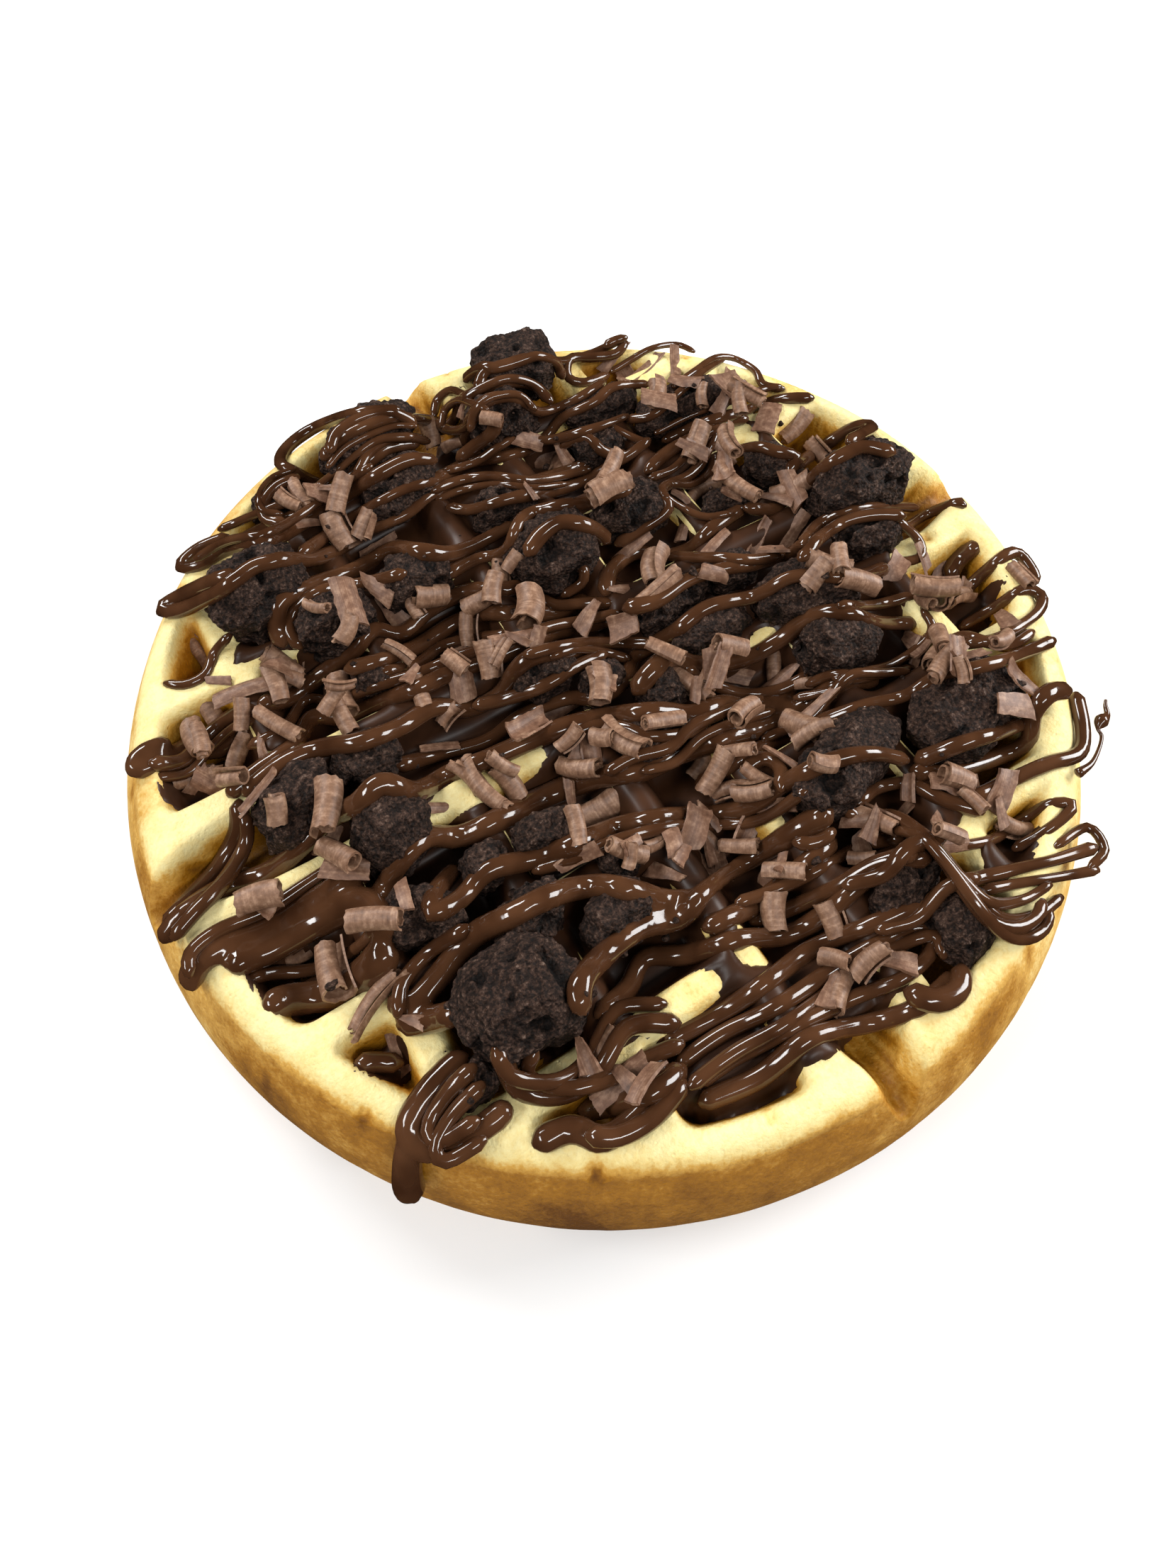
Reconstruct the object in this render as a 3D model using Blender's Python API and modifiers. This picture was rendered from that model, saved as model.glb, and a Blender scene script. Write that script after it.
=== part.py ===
"""A round Belgian waffle in four quarters, with brownie chunks, chocolate sauce and chocolate curls on top.

X runs along one dividing groove and Y along the other, Z is up, and the origin is under the middle. Driving
sizes are in metres. The lists of toppings are in millimetres: their x and y are readings on the plane of the
waffle's top face, as the photo shows it from EYE, so seen_at() moves what stands above that plane back
towards EYE.
"""

import math
import random

import bmesh
import bpy
import numpy as np
from mathutils import Matrix, Vector

MM = 0.001

# The waffle: a grid of tapered pockets on both faces inside a turned rim
SEAM_RADIUS = 0.0900
CREST_RADIUS = 0.0834
FLAT_RADIUS = 0.0806
THICKNESS = 0.0350
PITCH = 0.0240
FIRST_RIDGE = 0.0097
RIDGE_WIDTH = 0.0046
RIDGE_DROP = 0.0005
POCKET_CIRCLE = 0.0785
POCKET_DEPTH = 0.0115
POCKET_WALL_RUN = 0.0028
GROOVE_DEPTH = 0.0105
GROOVE_FLOOR_HALF = 0.0026
GROOVE_CLOSES = 0.0680
GROOVE_NARROWS = 0.55
GROOVE_RISES = 0.40
AROUND = 40
EDGE_DROP = 0.0013
SHOULDER_RADIUS = 0.0866
SHOULDER_DROP = 0.0062
PAST = 0.0010

# The camera's place, for the readings
EYE = Vector((-0.0578, -0.0915, 0.2088))

# Meshes of different nodes stay this far apart
CHUNK_TO_WAFFLE = 0.00055
CHUNK_TO_CHUNK = 0.00045
SEED = 11

# Brownie chunks: reading x, y, half length, half width, half height, height of the centre over the top face
CHUNKS = (
    (-48, 46, 9.5, 8.0, 8.0, 3.5), (-39, 33, 7.5, 5.8, 6.0, 1.5), (-22, 34, 7.0, 5.2, 5.5, 2.0),
    (-14, 56, 7.5, 5.0, 6.0, 2.5), (-14, 71, 10.5, 5.5, 7.0, 4.0), (-37, 64, 4.5, 4.2, 5.0, 1.0),
    (-59, 2, 7.5, 5.5, 5.5, 1.5), (-45.5, 3, 5.5, 4.6, 5.0, 0.5), (-37.5, 17.5, 4.0, 3.2, 4.5, -0.5),
    (-47, -10, 6.0, 6.0, 7.5, 3.0), (-50, -26, 6.0, 5.0, 5.5, 1.0), (-37, -24, 4.5, 3.8, 4.5, 0.5),
    (-26, -24.5, 6.0, 4.2, 5.0, 1.0), (-35, -35, 6.5, 4.6, 5.5, 2.0), (-43, -45, 10.0, 8.0, 8.5, 4.0),
    (-54.5, -52, 4.5, 3.0, 4.0, 0.0), (-23, -42, 6.8, 4.8, 5.5, 1.5), (-17.5, -34.5, 4.0, 3.4, 4.0, 0.0),
    (-10.5, 2.5, 6.5, 3.8, 4.5, 1.0), (-3, -4, 4.8, 3.2, 4.0, 0.5), (-2, -18, 4.8, 4.6, 4.5, 0.5),
    (5, -11.5, 4.3, 4.6, 5.0, 1.0), (22.8, 74.2, 8.2, 6.8, 7.8, 5.6), (13.5, 62, 7.0, 5.8, 7.0, 3.5),
    (34, 53.5, 9.0, 3.8, 4.5, 1.0), (26.5, 45, 6.0, 3.8, 4.5, 0.5), (47, 45.5, 11.5, 4.6, 5.0, 1.0),
    (2, 41, 6.5, 4.0, 4.5, 0.5), (5, 26, 8.3, 6.6, 7.0, 2.5), (22.5, 27, 7.2, 4.8, 5.5, 1.5),
    (40, 18.5, 4.8, 2.9, 4.0, 0.0), (54, 22, 4.6, 4.4, 4.5, 1.0), (67, 8.5, 11.3, 6.8, 7.0, 4.0),
    (17, 3, 8.5, 3.8, 5.0, 1.0), (31, 3.8, 4.8, 3.3, 4.5, 0.5), (60, -3, 6.8, 4.4, 5.0, 1.0),
    (20, -5, 8.5, 3.5, 4.5, 0.5), (41, -8, 9.5, 5.6, 6.5, 2.5), (38, -20, 7.6, 5.6, 6.0, 1.5),
    (24, -40, 11.5, 5.6, 6.0, 2.5), (49, -43, 10.5, 6.8, 6.5, 2.5), (19.5, -61.5, 7.8, 3.8, 4.5, 1.0),
    (22.2, -71.2, 5.0, 5.4, 4.6, 0.6),
)

# Sauce strands: half thickness, then readings x, y along the strand, from the rear rim to the front
STRANDS = (
    (2.0, (-4, 76.5), (-9, 79), (-16, 81), (-23, 81), (-29, 79), (-32, 75.5), (-30, 71), (-27, 65)),
    (2.2, (-24, 72), (-19, 75), (-13, 76), (-7, 75.5), (-3, 73), (2, 68)),
    (2.0, (0, 66), (5, 68), (9, 72), (14, 72.5), (20, 71.5), (24, 68), (25, 62)),
    (2.0, (13, 73), (17, 77), (23, 77), (29, 75.5), (33, 71.5), (40, 70), (49, 70.3)),
    (2.0, (49, 69), (45, 67), (40, 68.5), (35, 70.5), (32, 66), (34, 62.5), (40, 62)),
    (2.0, (3, 60), (8, 66), (13, 69), (18, 67.5), (20, 63.5), (22, 60), (30, 59), (38, 60.5)),
    (2.2, (-49, 60.5), (-40, 61), (-31, 61), (-24, 63.5), (-17, 66.5), (-11, 68), (-5, 65.5)),
    (2.2, (-48, 62.5), (-54, 63), (-59, 61), (-56, 59), (-49, 59.8), (-41, 57.5), (-33, 58), (-25, 60),
     (-16, 62), (-9, 62.5), (-4, 59.5)),
    (2.2, (-50, 54), (-58, 54), (-65, 53), (-62, 50.8), (-55, 51), (-47, 53.8), (-42, 52), (-36, 48.8),
     (-29, 48.8), (-24, 50)),
    (2.4, (-49, 33), (-48, 38.5), (-45, 43), (-38, 43.3), (-30, 42.3), (-22, 43.2), (-18, 40), (-13, 36),
     (-6, 35.6), (2, 36.2)),
    (2.2, (0, 28), (5, 31), (10, 31.5), (14, 27), (15, 22)),
    (2.0, (39, 39), (48, 39), (57, 37.6), (65, 36.6), (70, 35), (74, 32.5)),
    (1.7, (50, 51.5), (57, 53), (63, 54), (66.5, 51.5), (68, 46), (67, 41.5), (70, 38)),
    (2.1, (-73, 24.8), (-78, 25), (-80.5, 23), (-76, 21.5), (-71, 22.3), (-67, 19), (-62, 20)),
    (2.3, (-58, 24), (-52, 22.6), (-45, 24), (-38, 25.3), (-33, 28), (-29, 24.5), (-21, 26.6), (-14, 26),
     (-9, 23.5), (-4, 21.6)),
    (2.0, (-41, 22.5), (-35, 21), (-28, 20), (-20, 20.8), (-14, 20), (-8, 16.5), (-2, 13.2), (5, 12.5)),
    (2.0, (8, 12), (12, 16), (18, 17.5), (22, 14), (28, 12.5), (35, 14.5), (43, 15.6)),
    (2.2, (-69, 10), (-62, 11.8), (-55, 13), (-50, 16.5), (-45, 13.5), (-38, 13), (-31, 12), (-22, 11.6),
     (-13, 10), (-5, 9.5), (2, 7.5), (8, 6)),
    (2.0, (-66, 9), (-58, 10.8), (-51, 10), (-45, 7.5), (-38, 6.5), (-31, 7), (-26, 3.5), (-20, 3.2),
     (-15, 6), (-10, 7), (-3, 4.5), (3, 1.5)),
    (2.0, (-85, -6), (-80, -3.5), (-74, -1), (-69, 3), (-67, 8)),
    (2.4, (-86.5, -8.5), (-82, -6), (-75, -5), (-68, -6.5), (-61, -5), (-56, -3), (-50, -3), (-45, -1.6),
     (-41, -6), (-34, -6), (-26, -7), (-18, -8), (-10, -9.5), (-3, -12), (3, -15), (7, -18.5), (13, -19.5),
     (18, -23.5), (26, -24)),
    (2.3, (-55, -20), (-49, -16), (-43, -14.2), (-38, -17), (-30, -18), (-21, -18.5), (-13, -20), (-6, -23),
     (2, -23.6), (10, -25), (18, -27), (26, -27), (34, -27), (40, -30)),
    (2.0, (-41, -21.5), (-46, -23.5), (-47.5, -26), (-43, -26.3), (-37, -24.5), (-31, -26.5), (-24, -28),
     (-16, -29), (-8, -31.5), (-1, -35.5), (6, -38), (16, -37.5), (24, -38.5), (30, -41), (34, -45)),
    (2.8, (-84.5, -18), (-83, -14.8), (-78, -14), (-70, -15.3), (-62, -15), (-55, -14.5)),
    (3.0, (-79, -17), (-72, -18), (-64, -18), (-57, -19), (-55, -26)),
    (3.2, (-76.5, -26), (-73, -27), (-67, -29.5), (-60, -29.5), (-56, -27)),
    (2.3, (-60, -34.5), (-57, -37), (-51, -35.3), (-45, -33), (-38, -33.2), (-30, -34), (-23, -36.3),
     (-18.5, -40), (-15, -44), (-10, -47)),
    (2.2, (-60, -39), (-55, -41), (-51, -42)),
    (2.6, (-53, -48), (-60, -49.3), (-65, -52), (-64, -56), (-58, -57.7), (-51, -57.5)),
    (2.4, (-51, -63.3), (-45, -64.5), (-42, -68), (-34, -67.5), (-29, -63)),
    (2.2, (-36, -52), (-34, -48), (-28, -46), (-21, -45.5), (-15, -47.5), (-9, -46), (0, -45.5), (9, -45),
     (17, -45.5)),
    (2.0, (-34, -53.3), (-28, -52.5), (-23, -50), (-17, -53), (-9, -55), (-2, -58.3), (6, -59), (13, -58),
     (20, -57.8), (25, -60.5)),
    (2.4, (-27, -61.5), (-18, -62.3), (-9, -62.3), (0, -62), (9, -63.8), (18, -65.3), (27, -66.3),
     (35, -68.7), (43, -71.3), (50, -73)),
    (2.6, (-28, -65.5), (-19, -65), (-10, -66), (0, -66), (9, -66.5), (17, -68.5), (16, -72), (9, -73),
     (0, -71), (-9, -69.8), (-19, -68.8), (-27, -68.7)),
    (3.0, (-28, -71.5), (-19, -72.8), (-9, -72.5), (0, -75.5), (8, -77.3), (16, -77)),
    (2.2, (33, -46.5), (39, -50.5), (47, -52.5), (54, -53), (59, -49.5), (64, -48), (67.5, -49.5)),
    (1.9, (38, -56), (46, -57), (54, -58), (60, -59.3), (64, -56.5), (68, -50.5)),
    (1.9, (29, -61), (36, -63.5), (43, -63.3), (49, -63.8), (52, -66), (47, -66.8), (38, -66.5)),
    (1.9, (44, -69.3), (51, -69.8), (50.5, -74), (46, -75)),
    (2.0, (1, -9.3), (6, -7.3), (11, -6.5), (14, -10), (21, -13.3), (29, -13.8), (38, -12.8), (44, -15),
     (48, -20), (54, -24)),
    (1.7, (0, -30), (9, -30), (18, -30.7), (27, -31.8), (35, -33), (42, -34.7), (50, -34.7), (57, -37),
     (65, -39), (73, -40)),
    (1.7, (57, -22), (65, -23), (73, -21.8), (81, -21.3), (81, -26), (79.5, -29)),
    (2.4, (66, -19), (71, -16.8), (77, -16.3)),
    (1.8, (9, 7), (15, 5.6), (23, 6.6), (31, 5), (37, 2.5), (45, 1.2), (53, 4), (61, 4), (68, 0.5),
     (73, -3)),
    (2.1, (43, 15.5), (48, 12), (56, 13), (65, 15.8), (73, 16), (78.5, 11)),
)

# The drip over the front left rim, in true x, y and height
DRIP = ((-63.5, -51.5, 34.5), (-66.6, -54.6, 32.0), (-68.4, -56.8, 28.0), (-68.8, -57.4, 24.5))
DRIP_HALF_THICKNESS = 0.0026

# Curls and shavings: reading x, y, length, width, turn in degrees, kind
TUBE, FLAT = 0, 1
FLAKES = (
    (-64, 16, 9, 4.2, 42, TUBE), (-65, 27, 11, 3.8, 98, TUBE), (-59, 28, 10, 4.5, -10, FLAT),
    (-34.5, 36, 10, 7, 80, FLAT), (-28.5, 30, 8, 5, 110, FLAT), (-24, 45, 9, 4.5, -8, FLAT),
    (-64, 8, 9, 4.5, 15, FLAT), (-30, -11, 11, 4, -80, TUBE), (-61.5, -34, 11, 3.6, 22, TUBE),
    (-61.5, -42, 8, 5, 75, FLAT), (-36, -63, 10, 3.8, 5, FLAT), (10.5, -12, 10, 3.8, -72, TUBE),
    (18, -15, 9, 6, -30, FLAT), (15.5, -26, 7, 6, 40, FLAT), (26, -28.5, 12, 3.6, 6, FLAT),
    (43.5, -57.5, 8, 5.5, 30, FLAT), (50, -3.5, 8, 5, -50, TUBE), (62.5, -44, 8, 5, -60, FLAT),
    (47, 60, 13, 5, 15, FLAT), (44, 66, 9, 4.5, 10, FLAT), (62, 46, 8, 6, 60, FLAT),
    (48, 31, 9, 4.5, -60, FLAT), (62, 33, 10, 5.5, 40, FLAT), (65.5, 28, 8, 5, 10, TUBE),
    (38, 23, 11, 3.6, 20, TUBE), (46, 22, 11, 3.8, -80, TUBE), (18, 18.5, 10, 3.8, 5, FLAT),
    (17, 8, 11, 4, 12, TUBE), (50, 15, 9, 4.5, 20, FLAT),
)

# How strands lie: SAG is how far the sauce in a pocket stands below the top face, and SAUCE_LIFT is how
# much of its half thickness a strand's middle stands over the ground
STRAND_STEP = 0.0150
STRAND_END = 0.75
DRIP_STEP = 0.0050
SAG = 0.0065
SAUCE_LIFT = 0.45
GROUND_SMOOTHING = 3
GROUND_SMOOTHED_AT_MOST = 0.0020
FIXES_OF_A_READING = 4
WELD = 0.00001

# How chunks are shaped: the power of their rounded-box outline, the share of a corner that is broken off,
# how far a corner strays from its place as a share of the half size, and how far they turn, in radians
CHUNK_POWER = 3.2
CHUNK_BEVEL = 0.5
CHUNK_ROUGH = 0.12
CHUNK_TURN = 0.30
CHUNK_TILT = 0.17

# How curls and shavings lie: tilts in radians, and the share of a tube's width that it stands up by
FLAKE_THICKNESS = 0.0013
FLAKE_NARROW_END = 0.45
FLAKE_PITCH = 0.25
FLAKE_ROLL = 0.40
TUBE_LIFT = 0.35

WAFFLE_COLOUR = (0.62, 0.38, 0.12)
BROWNIE_COLOUR = (0.030, 0.013, 0.008)


def seen_at(x, y, z):
    """The true x and y of a point at height z that the photo shows at the reading x, y."""
    share = (EYE.z - z) / (EYE.z - THICKNESS)
    return EYE.x + (x - EYE.x) * share, EYE.y + (y - EYE.y) * share


def material(name, colour, roughness):
    made = bpy.data.materials.new(name)
    made.use_nodes = True
    shader = made.node_tree.nodes["Principled BSDF"]
    shader.inputs["Base Color"].default_value = (*colour, 1.0)
    shader.inputs["Roughness"].default_value = roughness
    return made


def place(mesh_or_curve, name, collection):
    made = bpy.data.objects.new(name, mesh_or_curve)
    collection.objects.link(made)
    return made


def object_from(work, name, collection):
    """Turns a bmesh into an object and frees the bmesh."""
    mesh = bpy.data.meshes.new(name)
    bmesh.ops.recalc_face_normals(work, faces=work.faces)
    work.to_mesh(mesh)
    work.free()
    return place(mesh, name, collection)


def evaluated_mesh(made):
    depsgraph = bpy.context.evaluated_depsgraph_get()
    return bpy.data.meshes.new_from_object(made.evaluated_get(depsgraph))


def turned(name, profile, closed, collection):
    """A profile of radius and height, running down its outer side, turned about Z."""
    count = len(profile)
    edges = [(i, i + 1) for i in range(count - 1)]
    if closed:
        edges.append((count - 1, 0))
    mesh = bpy.data.meshes.new(name)
    mesh.from_pydata([(radius, 0.0, height) for radius, height in profile], edges, [])
    made = place(mesh, name, collection)
    screw = made.modifiers.new("turn", "SCREW")
    screw.steps = screw.render_steps = AROUND
    screw.use_merge_vertices = True
    screw.merge_threshold = WELD
    made.data = evaluated_mesh(made)
    made.modifiers.clear()
    work = bmesh.new()
    work.from_mesh(made.data)
    bmesh.ops.recalc_face_normals(work, faces=work.faces)
    work.to_mesh(made.data)
    work.free()
    return made


def mirrored_down(upper):
    """A profile's upper half with the same points below the middle of the waffle."""
    return upper + [(radius, THICKNESS - height) for radius, height in reversed(upper)]


def grid_disc(collection):
    top = THICKNESS - RIDGE_DROP
    return turned("waffle", mirrored_down([(0.0, top), (FLAT_RADIUS, top)]), False, collection)


def rim_ring(collection):
    outer = mirrored_down([(FLAT_RADIUS, THICKNESS), (CREST_RADIUS, THICKNESS - EDGE_DROP),
                           (SHOULDER_RADIUS, THICKNESS - SHOULDER_DROP)])
    outer.insert(len(outer) // 2, (SEAM_RADIUS, THICKNESS / 2))
    inner_low = POCKET_CIRCLE - POCKET_WALL_RUN
    inner = [(POCKET_CIRCLE, 0.0), (inner_low, POCKET_DEPTH), (inner_low, THICKNESS - POCKET_DEPTH),
             (POCKET_CIRCLE, THICKNESS)]
    return turned("rim", outer + inner, True, collection)


def pocket_cutter(x, y, above, collection):
    """A four-sided cone with its wide end out of the face that it cuts."""
    floor_half = (PITCH - RIDGE_WIDTH) / 2 - POCKET_WALL_RUN
    mouth_half = floor_half + POCKET_WALL_RUN * (POCKET_DEPTH + PAST) / POCKET_DEPTH
    work = bmesh.new()
    bmesh.ops.create_cone(work, cap_ends=True, segments=4, radius1=floor_half * math.sqrt(2),
                          radius2=mouth_half * math.sqrt(2), depth=POCKET_DEPTH + PAST)
    bmesh.ops.rotate(work, verts=work.verts, matrix=Matrix.Rotation(math.pi / 4, 3, "Z"))
    height = THICKNESS + PAST - (POCKET_DEPTH + PAST) / 2
    if not above:
        bmesh.ops.rotate(work, verts=work.verts, matrix=Matrix.Rotation(math.pi, 3, "X"))
        height = THICKNESS - height
    bmesh.ops.translate(work, verts=work.verts, vec=(x, y, height))
    return object_from(work, "pocket", collection)


def pocket_cutters(collection):
    centres = [FIRST_RIDGE + PITCH * (k + 0.5) for k in range(3)]
    cutters = []
    for x in centres:
        for y in centres:
            nearest = math.hypot(x - PITCH / 2, y - PITCH / 2)
            if nearest > POCKET_CIRCLE:
                continue
            for sign_x in (-1, 1):
                for sign_y in (-1, 1):
                    for above in (True, False):
                        cutters.append(pocket_cutter(sign_x * x, sign_y * y, above, collection))
    return cutters


def groove_at(along):
    """Half the widths of a dividing groove's mouth and floor, and its depth, this far from the middle."""
    share = np.maximum(along - GROOVE_CLOSES, 0) / (SEAM_RADIUS - GROOVE_CLOSES)
    width = 1 - GROOVE_NARROWS * share
    mouth_half = FIRST_RIDGE - RIDGE_WIDTH / 2
    return mouth_half * width, GROOVE_FLOOR_HALF * width, GROOVE_DEPTH * (1 - GROOVE_RISES * share)


def groove_cutters(collection):
    """The two dividing grooves on both faces, wide at the mouth, and narrower and shallower at the rim."""
    reach = SEAM_RADIUS + 5 * PAST
    cutters = []
    for turn in (0.0, math.pi / 2):
        for above in (True, False):
            work = bmesh.new()
            rings = []
            for along in (-reach, -GROOVE_CLOSES, GROOVE_CLOSES, reach):
                mouth_half, floor_half, depth = groove_at(abs(along))
                past_half = mouth_half + (mouth_half - floor_half) / depth * PAST
                low, high = THICKNESS - depth, THICKNESS + PAST
                corners = ((-past_half, high), (-floor_half, low), (floor_half, low), (past_half, high))
                rings.append([work.verts.new((along, across, height if above else THICKNESS - height))
                              for across, height in corners])
            for near, far in zip(rings, rings[1:]):
                for k in range(len(near)):
                    work.faces.new((near[k], near[k - 1], far[k - 1], far[k]))
            work.faces.new(rings[0])
            work.faces.new(rings[-1])
            bmesh.ops.triangulate(work, faces=work.faces)
            bmesh.ops.rotate(work, verts=work.verts, matrix=Matrix.Rotation(turn, 3, "Z"))
            cutters.append(object_from(work, "groove", collection))
    return cutters


def combine(target, others, operation, solver):
    """Applies one Boolean of a whole collection to the target and removes the collection's objects."""
    group = bpy.data.collections.new("operands")
    bpy.context.scene.collection.children.link(group)
    for other in others:
        for holder in list(other.users_collection):
            holder.objects.unlink(other)
        group.objects.link(other)
    join = target.modifiers.new("join", "BOOLEAN")
    join.operation = operation
    join.operand_type = "COLLECTION"
    join.collection = group
    join.solver = solver
    target.data = evaluated_mesh(target)
    target.modifiers.clear()
    for other in others:
        bpy.data.objects.remove(other)
    bpy.data.collections.remove(group)


def keep_largest(made):
    """Drops loose scraps and the shells of sealed hollows, so that one solid body is left."""
    work = bmesh.new()
    work.from_mesh(made.data)
    bmesh.ops.triangulate(work, faces=work.faces)
    left = set(work.faces)
    bodies = []
    while left:
        stack = [left.pop()]
        members = list(stack)
        while stack:
            for edge in stack.pop().edges:
                if len(edge.link_faces) != 2:
                    continue
                for face in edge.link_faces:
                    if face in left:
                        left.remove(face)
                        stack.append(face)
                        members.append(face)
        bodies.append(members)
    bodies.sort(key=len)
    for members in bodies[:-1]:
        bmesh.ops.delete(work, geom=members, context="FACES")
    work.to_mesh(made.data)
    work.free()


def waffle_height(x, y):
    """The height of the waffle's upper face, pockets and grooves included, for arrays x and y."""
    radius = np.hypot(x, y)
    height = np.interp(radius, [FLAT_RADIUS, CREST_RADIUS, SHOULDER_RADIUS, SEAM_RADIUS],
                       [THICKNESS, THICKNESS - EDGE_DROP, THICKNESS - SHOULDER_DROP, THICKNESS / 2])
    half = (PITCH - RIDGE_WIDTH) / 2

    def to_wall(u):
        cell = np.clip(np.floor((np.abs(u) - FIRST_RIDGE) / PITCH), 0, 2)
        return half - np.abs(np.abs(u) - FIRST_RIDGE - PITCH * (cell + 0.5))

    inside = np.minimum(np.minimum(to_wall(x), to_wall(y)), POCKET_CIRCLE - radius)
    pocket = np.clip(inside / POCKET_WALL_RUN, 0, 1) * POCKET_DEPTH
    mouth_half, floor_half, depth = groove_at(np.minimum(np.maximum(np.abs(x), np.abs(y)), SEAM_RADIUS))
    across = mouth_half - np.minimum(np.abs(x), np.abs(y))
    groove = np.clip(across / (mouth_half - floor_half), 0, 1) * depth
    return height - np.maximum(pocket, groove)


class Ground:
    """What sauce and curls lie on: the waffle, sauce part-filling its pockets, and the chunks."""

    CELL = MM
    REACH = 0.100

    def __init__(self, chunks):
        axis = np.arange(-self.REACH, self.REACH + self.CELL, self.CELL)
        x, y = np.meshgrid(axis, axis, indexing="ij")
        height = np.maximum(waffle_height(x, y), THICKNESS - SAG)
        for centre, size in chunks:
            share = (np.abs((x - centre.x) / size.x) ** CHUNK_POWER
                     + np.abs((y - centre.y) / size.y) ** CHUNK_POWER)
            top = centre.z + size.z * np.clip(1 - share, 0, 1) ** (1 / CHUNK_POWER)
            height = np.where(share < 1, np.maximum(height, top), height)
        smooth = height
        for _ in range(GROUND_SMOOTHING):
            padded = np.pad(smooth, 1, mode="edge")
            smooth = sum(padded[i:i + len(x), j:j + len(x)] for i in range(3) for j in range(3)) / 9
        self.height = np.maximum(smooth, height - GROUND_SMOOTHED_AT_MOST)

    def at(self, x, y):
        last = len(self.height) - 1
        i = min(max(round((x + self.REACH) / self.CELL), 0), last)
        j = min(max(round((y + self.REACH) / self.CELL), 0), last)
        return float(self.height[i, j])

    def point(self, x, y, lift):
        """The true point of the reading x, y that stands lift over the ground."""
        z = THICKNESS + lift
        for _ in range(FIXES_OF_A_READING):
            true_x, true_y = seen_at(x, y, z)
            z = self.at(true_x, true_y) + lift
        return Vector((true_x, true_y, z))


def spaced(readings, step):
    """Points about step apart on a smooth curve through the readings."""
    given = [Vector(reading) * MM for reading in readings]
    given = [2 * given[0] - given[1]] + given + [2 * given[-1] - given[-2]]
    fine = []
    for p0, p1, p2, p3 in zip(given, given[1:], given[2:], given[3:]):
        for t in np.linspace(0, 1, 10, endpoint=False):
            fine.append(0.5 * (2 * p1 + (p2 - p0) * t + (2 * p0 - 5 * p1 + 4 * p2 - p3) * t ** 2
                               + (3 * p1 - p0 - 3 * p2 + p3) * t ** 3))
    fine = np.array(fine + [given[-2]])
    along = np.concatenate([[0], np.cumsum(np.linalg.norm(np.diff(fine, axis=0), axis=1))])
    wanted = np.linspace(0, along[-1], max(2, round(along[-1] / step)) + 1)
    return np.stack([np.interp(wanted, along, column) for column in fine.T], axis=1)


def strand(points, half_thickness, collection):
    """A strand of sauce: a bevelled curve, made a closed mesh so that it can be joined."""
    curve = bpy.data.curves.new("strand", "CURVE")
    curve.dimensions = "3D"
    curve.bevel_depth = half_thickness
    curve.bevel_resolution = 0
    curve.use_fill_caps = True
    spline = curve.splines.new("POLY")
    spline.points.add(len(points) - 1)
    for target, point in zip(spline.points, points):
        target.co = (*point, 1.0)
    spline.points[0].radius = spline.points[-1].radius = STRAND_END
    guide = place(curve, "strand", collection)
    work = bmesh.new()
    work.from_mesh(evaluated_mesh(guide))
    bmesh.ops.remove_doubles(work, verts=work.verts, dist=WELD)
    bpy.data.objects.remove(guide)
    return object_from(work, "strand", collection)


def flake(ground, spec, rng, collection):
    """A curl as a six-sided bar, or a shaving as a plate that narrows to one end."""
    x, y, length, width, turn, kind = spec
    length, width = length * MM, width * MM
    work = bmesh.new()
    if kind == TUBE:
        bmesh.ops.create_cone(work, cap_ends=True, segments=6, radius1=width / 2, radius2=width / 2,
                              depth=length)
        bmesh.ops.rotate(work, verts=work.verts, matrix=Matrix.Rotation(math.pi / 2, 3, "Y"))
        lift = width * TUBE_LIFT
    else:
        bmesh.ops.create_cube(work, size=1.0)
        for vert in work.verts:
            narrow = FLAKE_NARROW_END if vert.co.x > 0 else 1.0
            vert.co = (vert.co.x * length, vert.co.y * width * narrow, vert.co.z * FLAKE_THICKNESS)
        lift = FLAKE_THICKNESS
    pitch = Matrix.Rotation(rng.uniform(-FLAKE_PITCH, FLAKE_PITCH), 3, "Y")
    tilt = pitch @ Matrix.Rotation(rng.uniform(-FLAKE_ROLL, FLAKE_ROLL), 3, "X")
    bmesh.ops.rotate(work, verts=work.verts, matrix=Matrix.Rotation(math.radians(turn), 3, "Z") @ tilt)
    bmesh.ops.translate(work, verts=work.verts, vec=ground.point(x * MM, y * MM, lift))
    return object_from(work, "flake", collection)


def chunk(centre, size, rng):
    """A bmesh of one rough block with broken edges."""
    work = bmesh.new()
    bmesh.ops.create_cube(work, size=2.0)
    bmesh.ops.bevel(work, geom=work.edges[:], offset=CHUNK_BEVEL, segments=1, affect="EDGES")
    turn = Matrix.Rotation(rng.uniform(-CHUNK_TURN, CHUNK_TURN), 3, "Z")
    lean = turn @ Matrix.Rotation(rng.uniform(-CHUNK_TILT, CHUNK_TILT), 3, "Y")
    for vert in work.verts:
        rough = [part * side * (1 + CHUNK_ROUGH * rng.uniform(-1, 1)) for part, side in zip(vert.co, size)]
        vert.co = centre + lean @ Vector(rough)
    bmesh.ops.triangulate(work, faces=work.faces)
    return work


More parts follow.
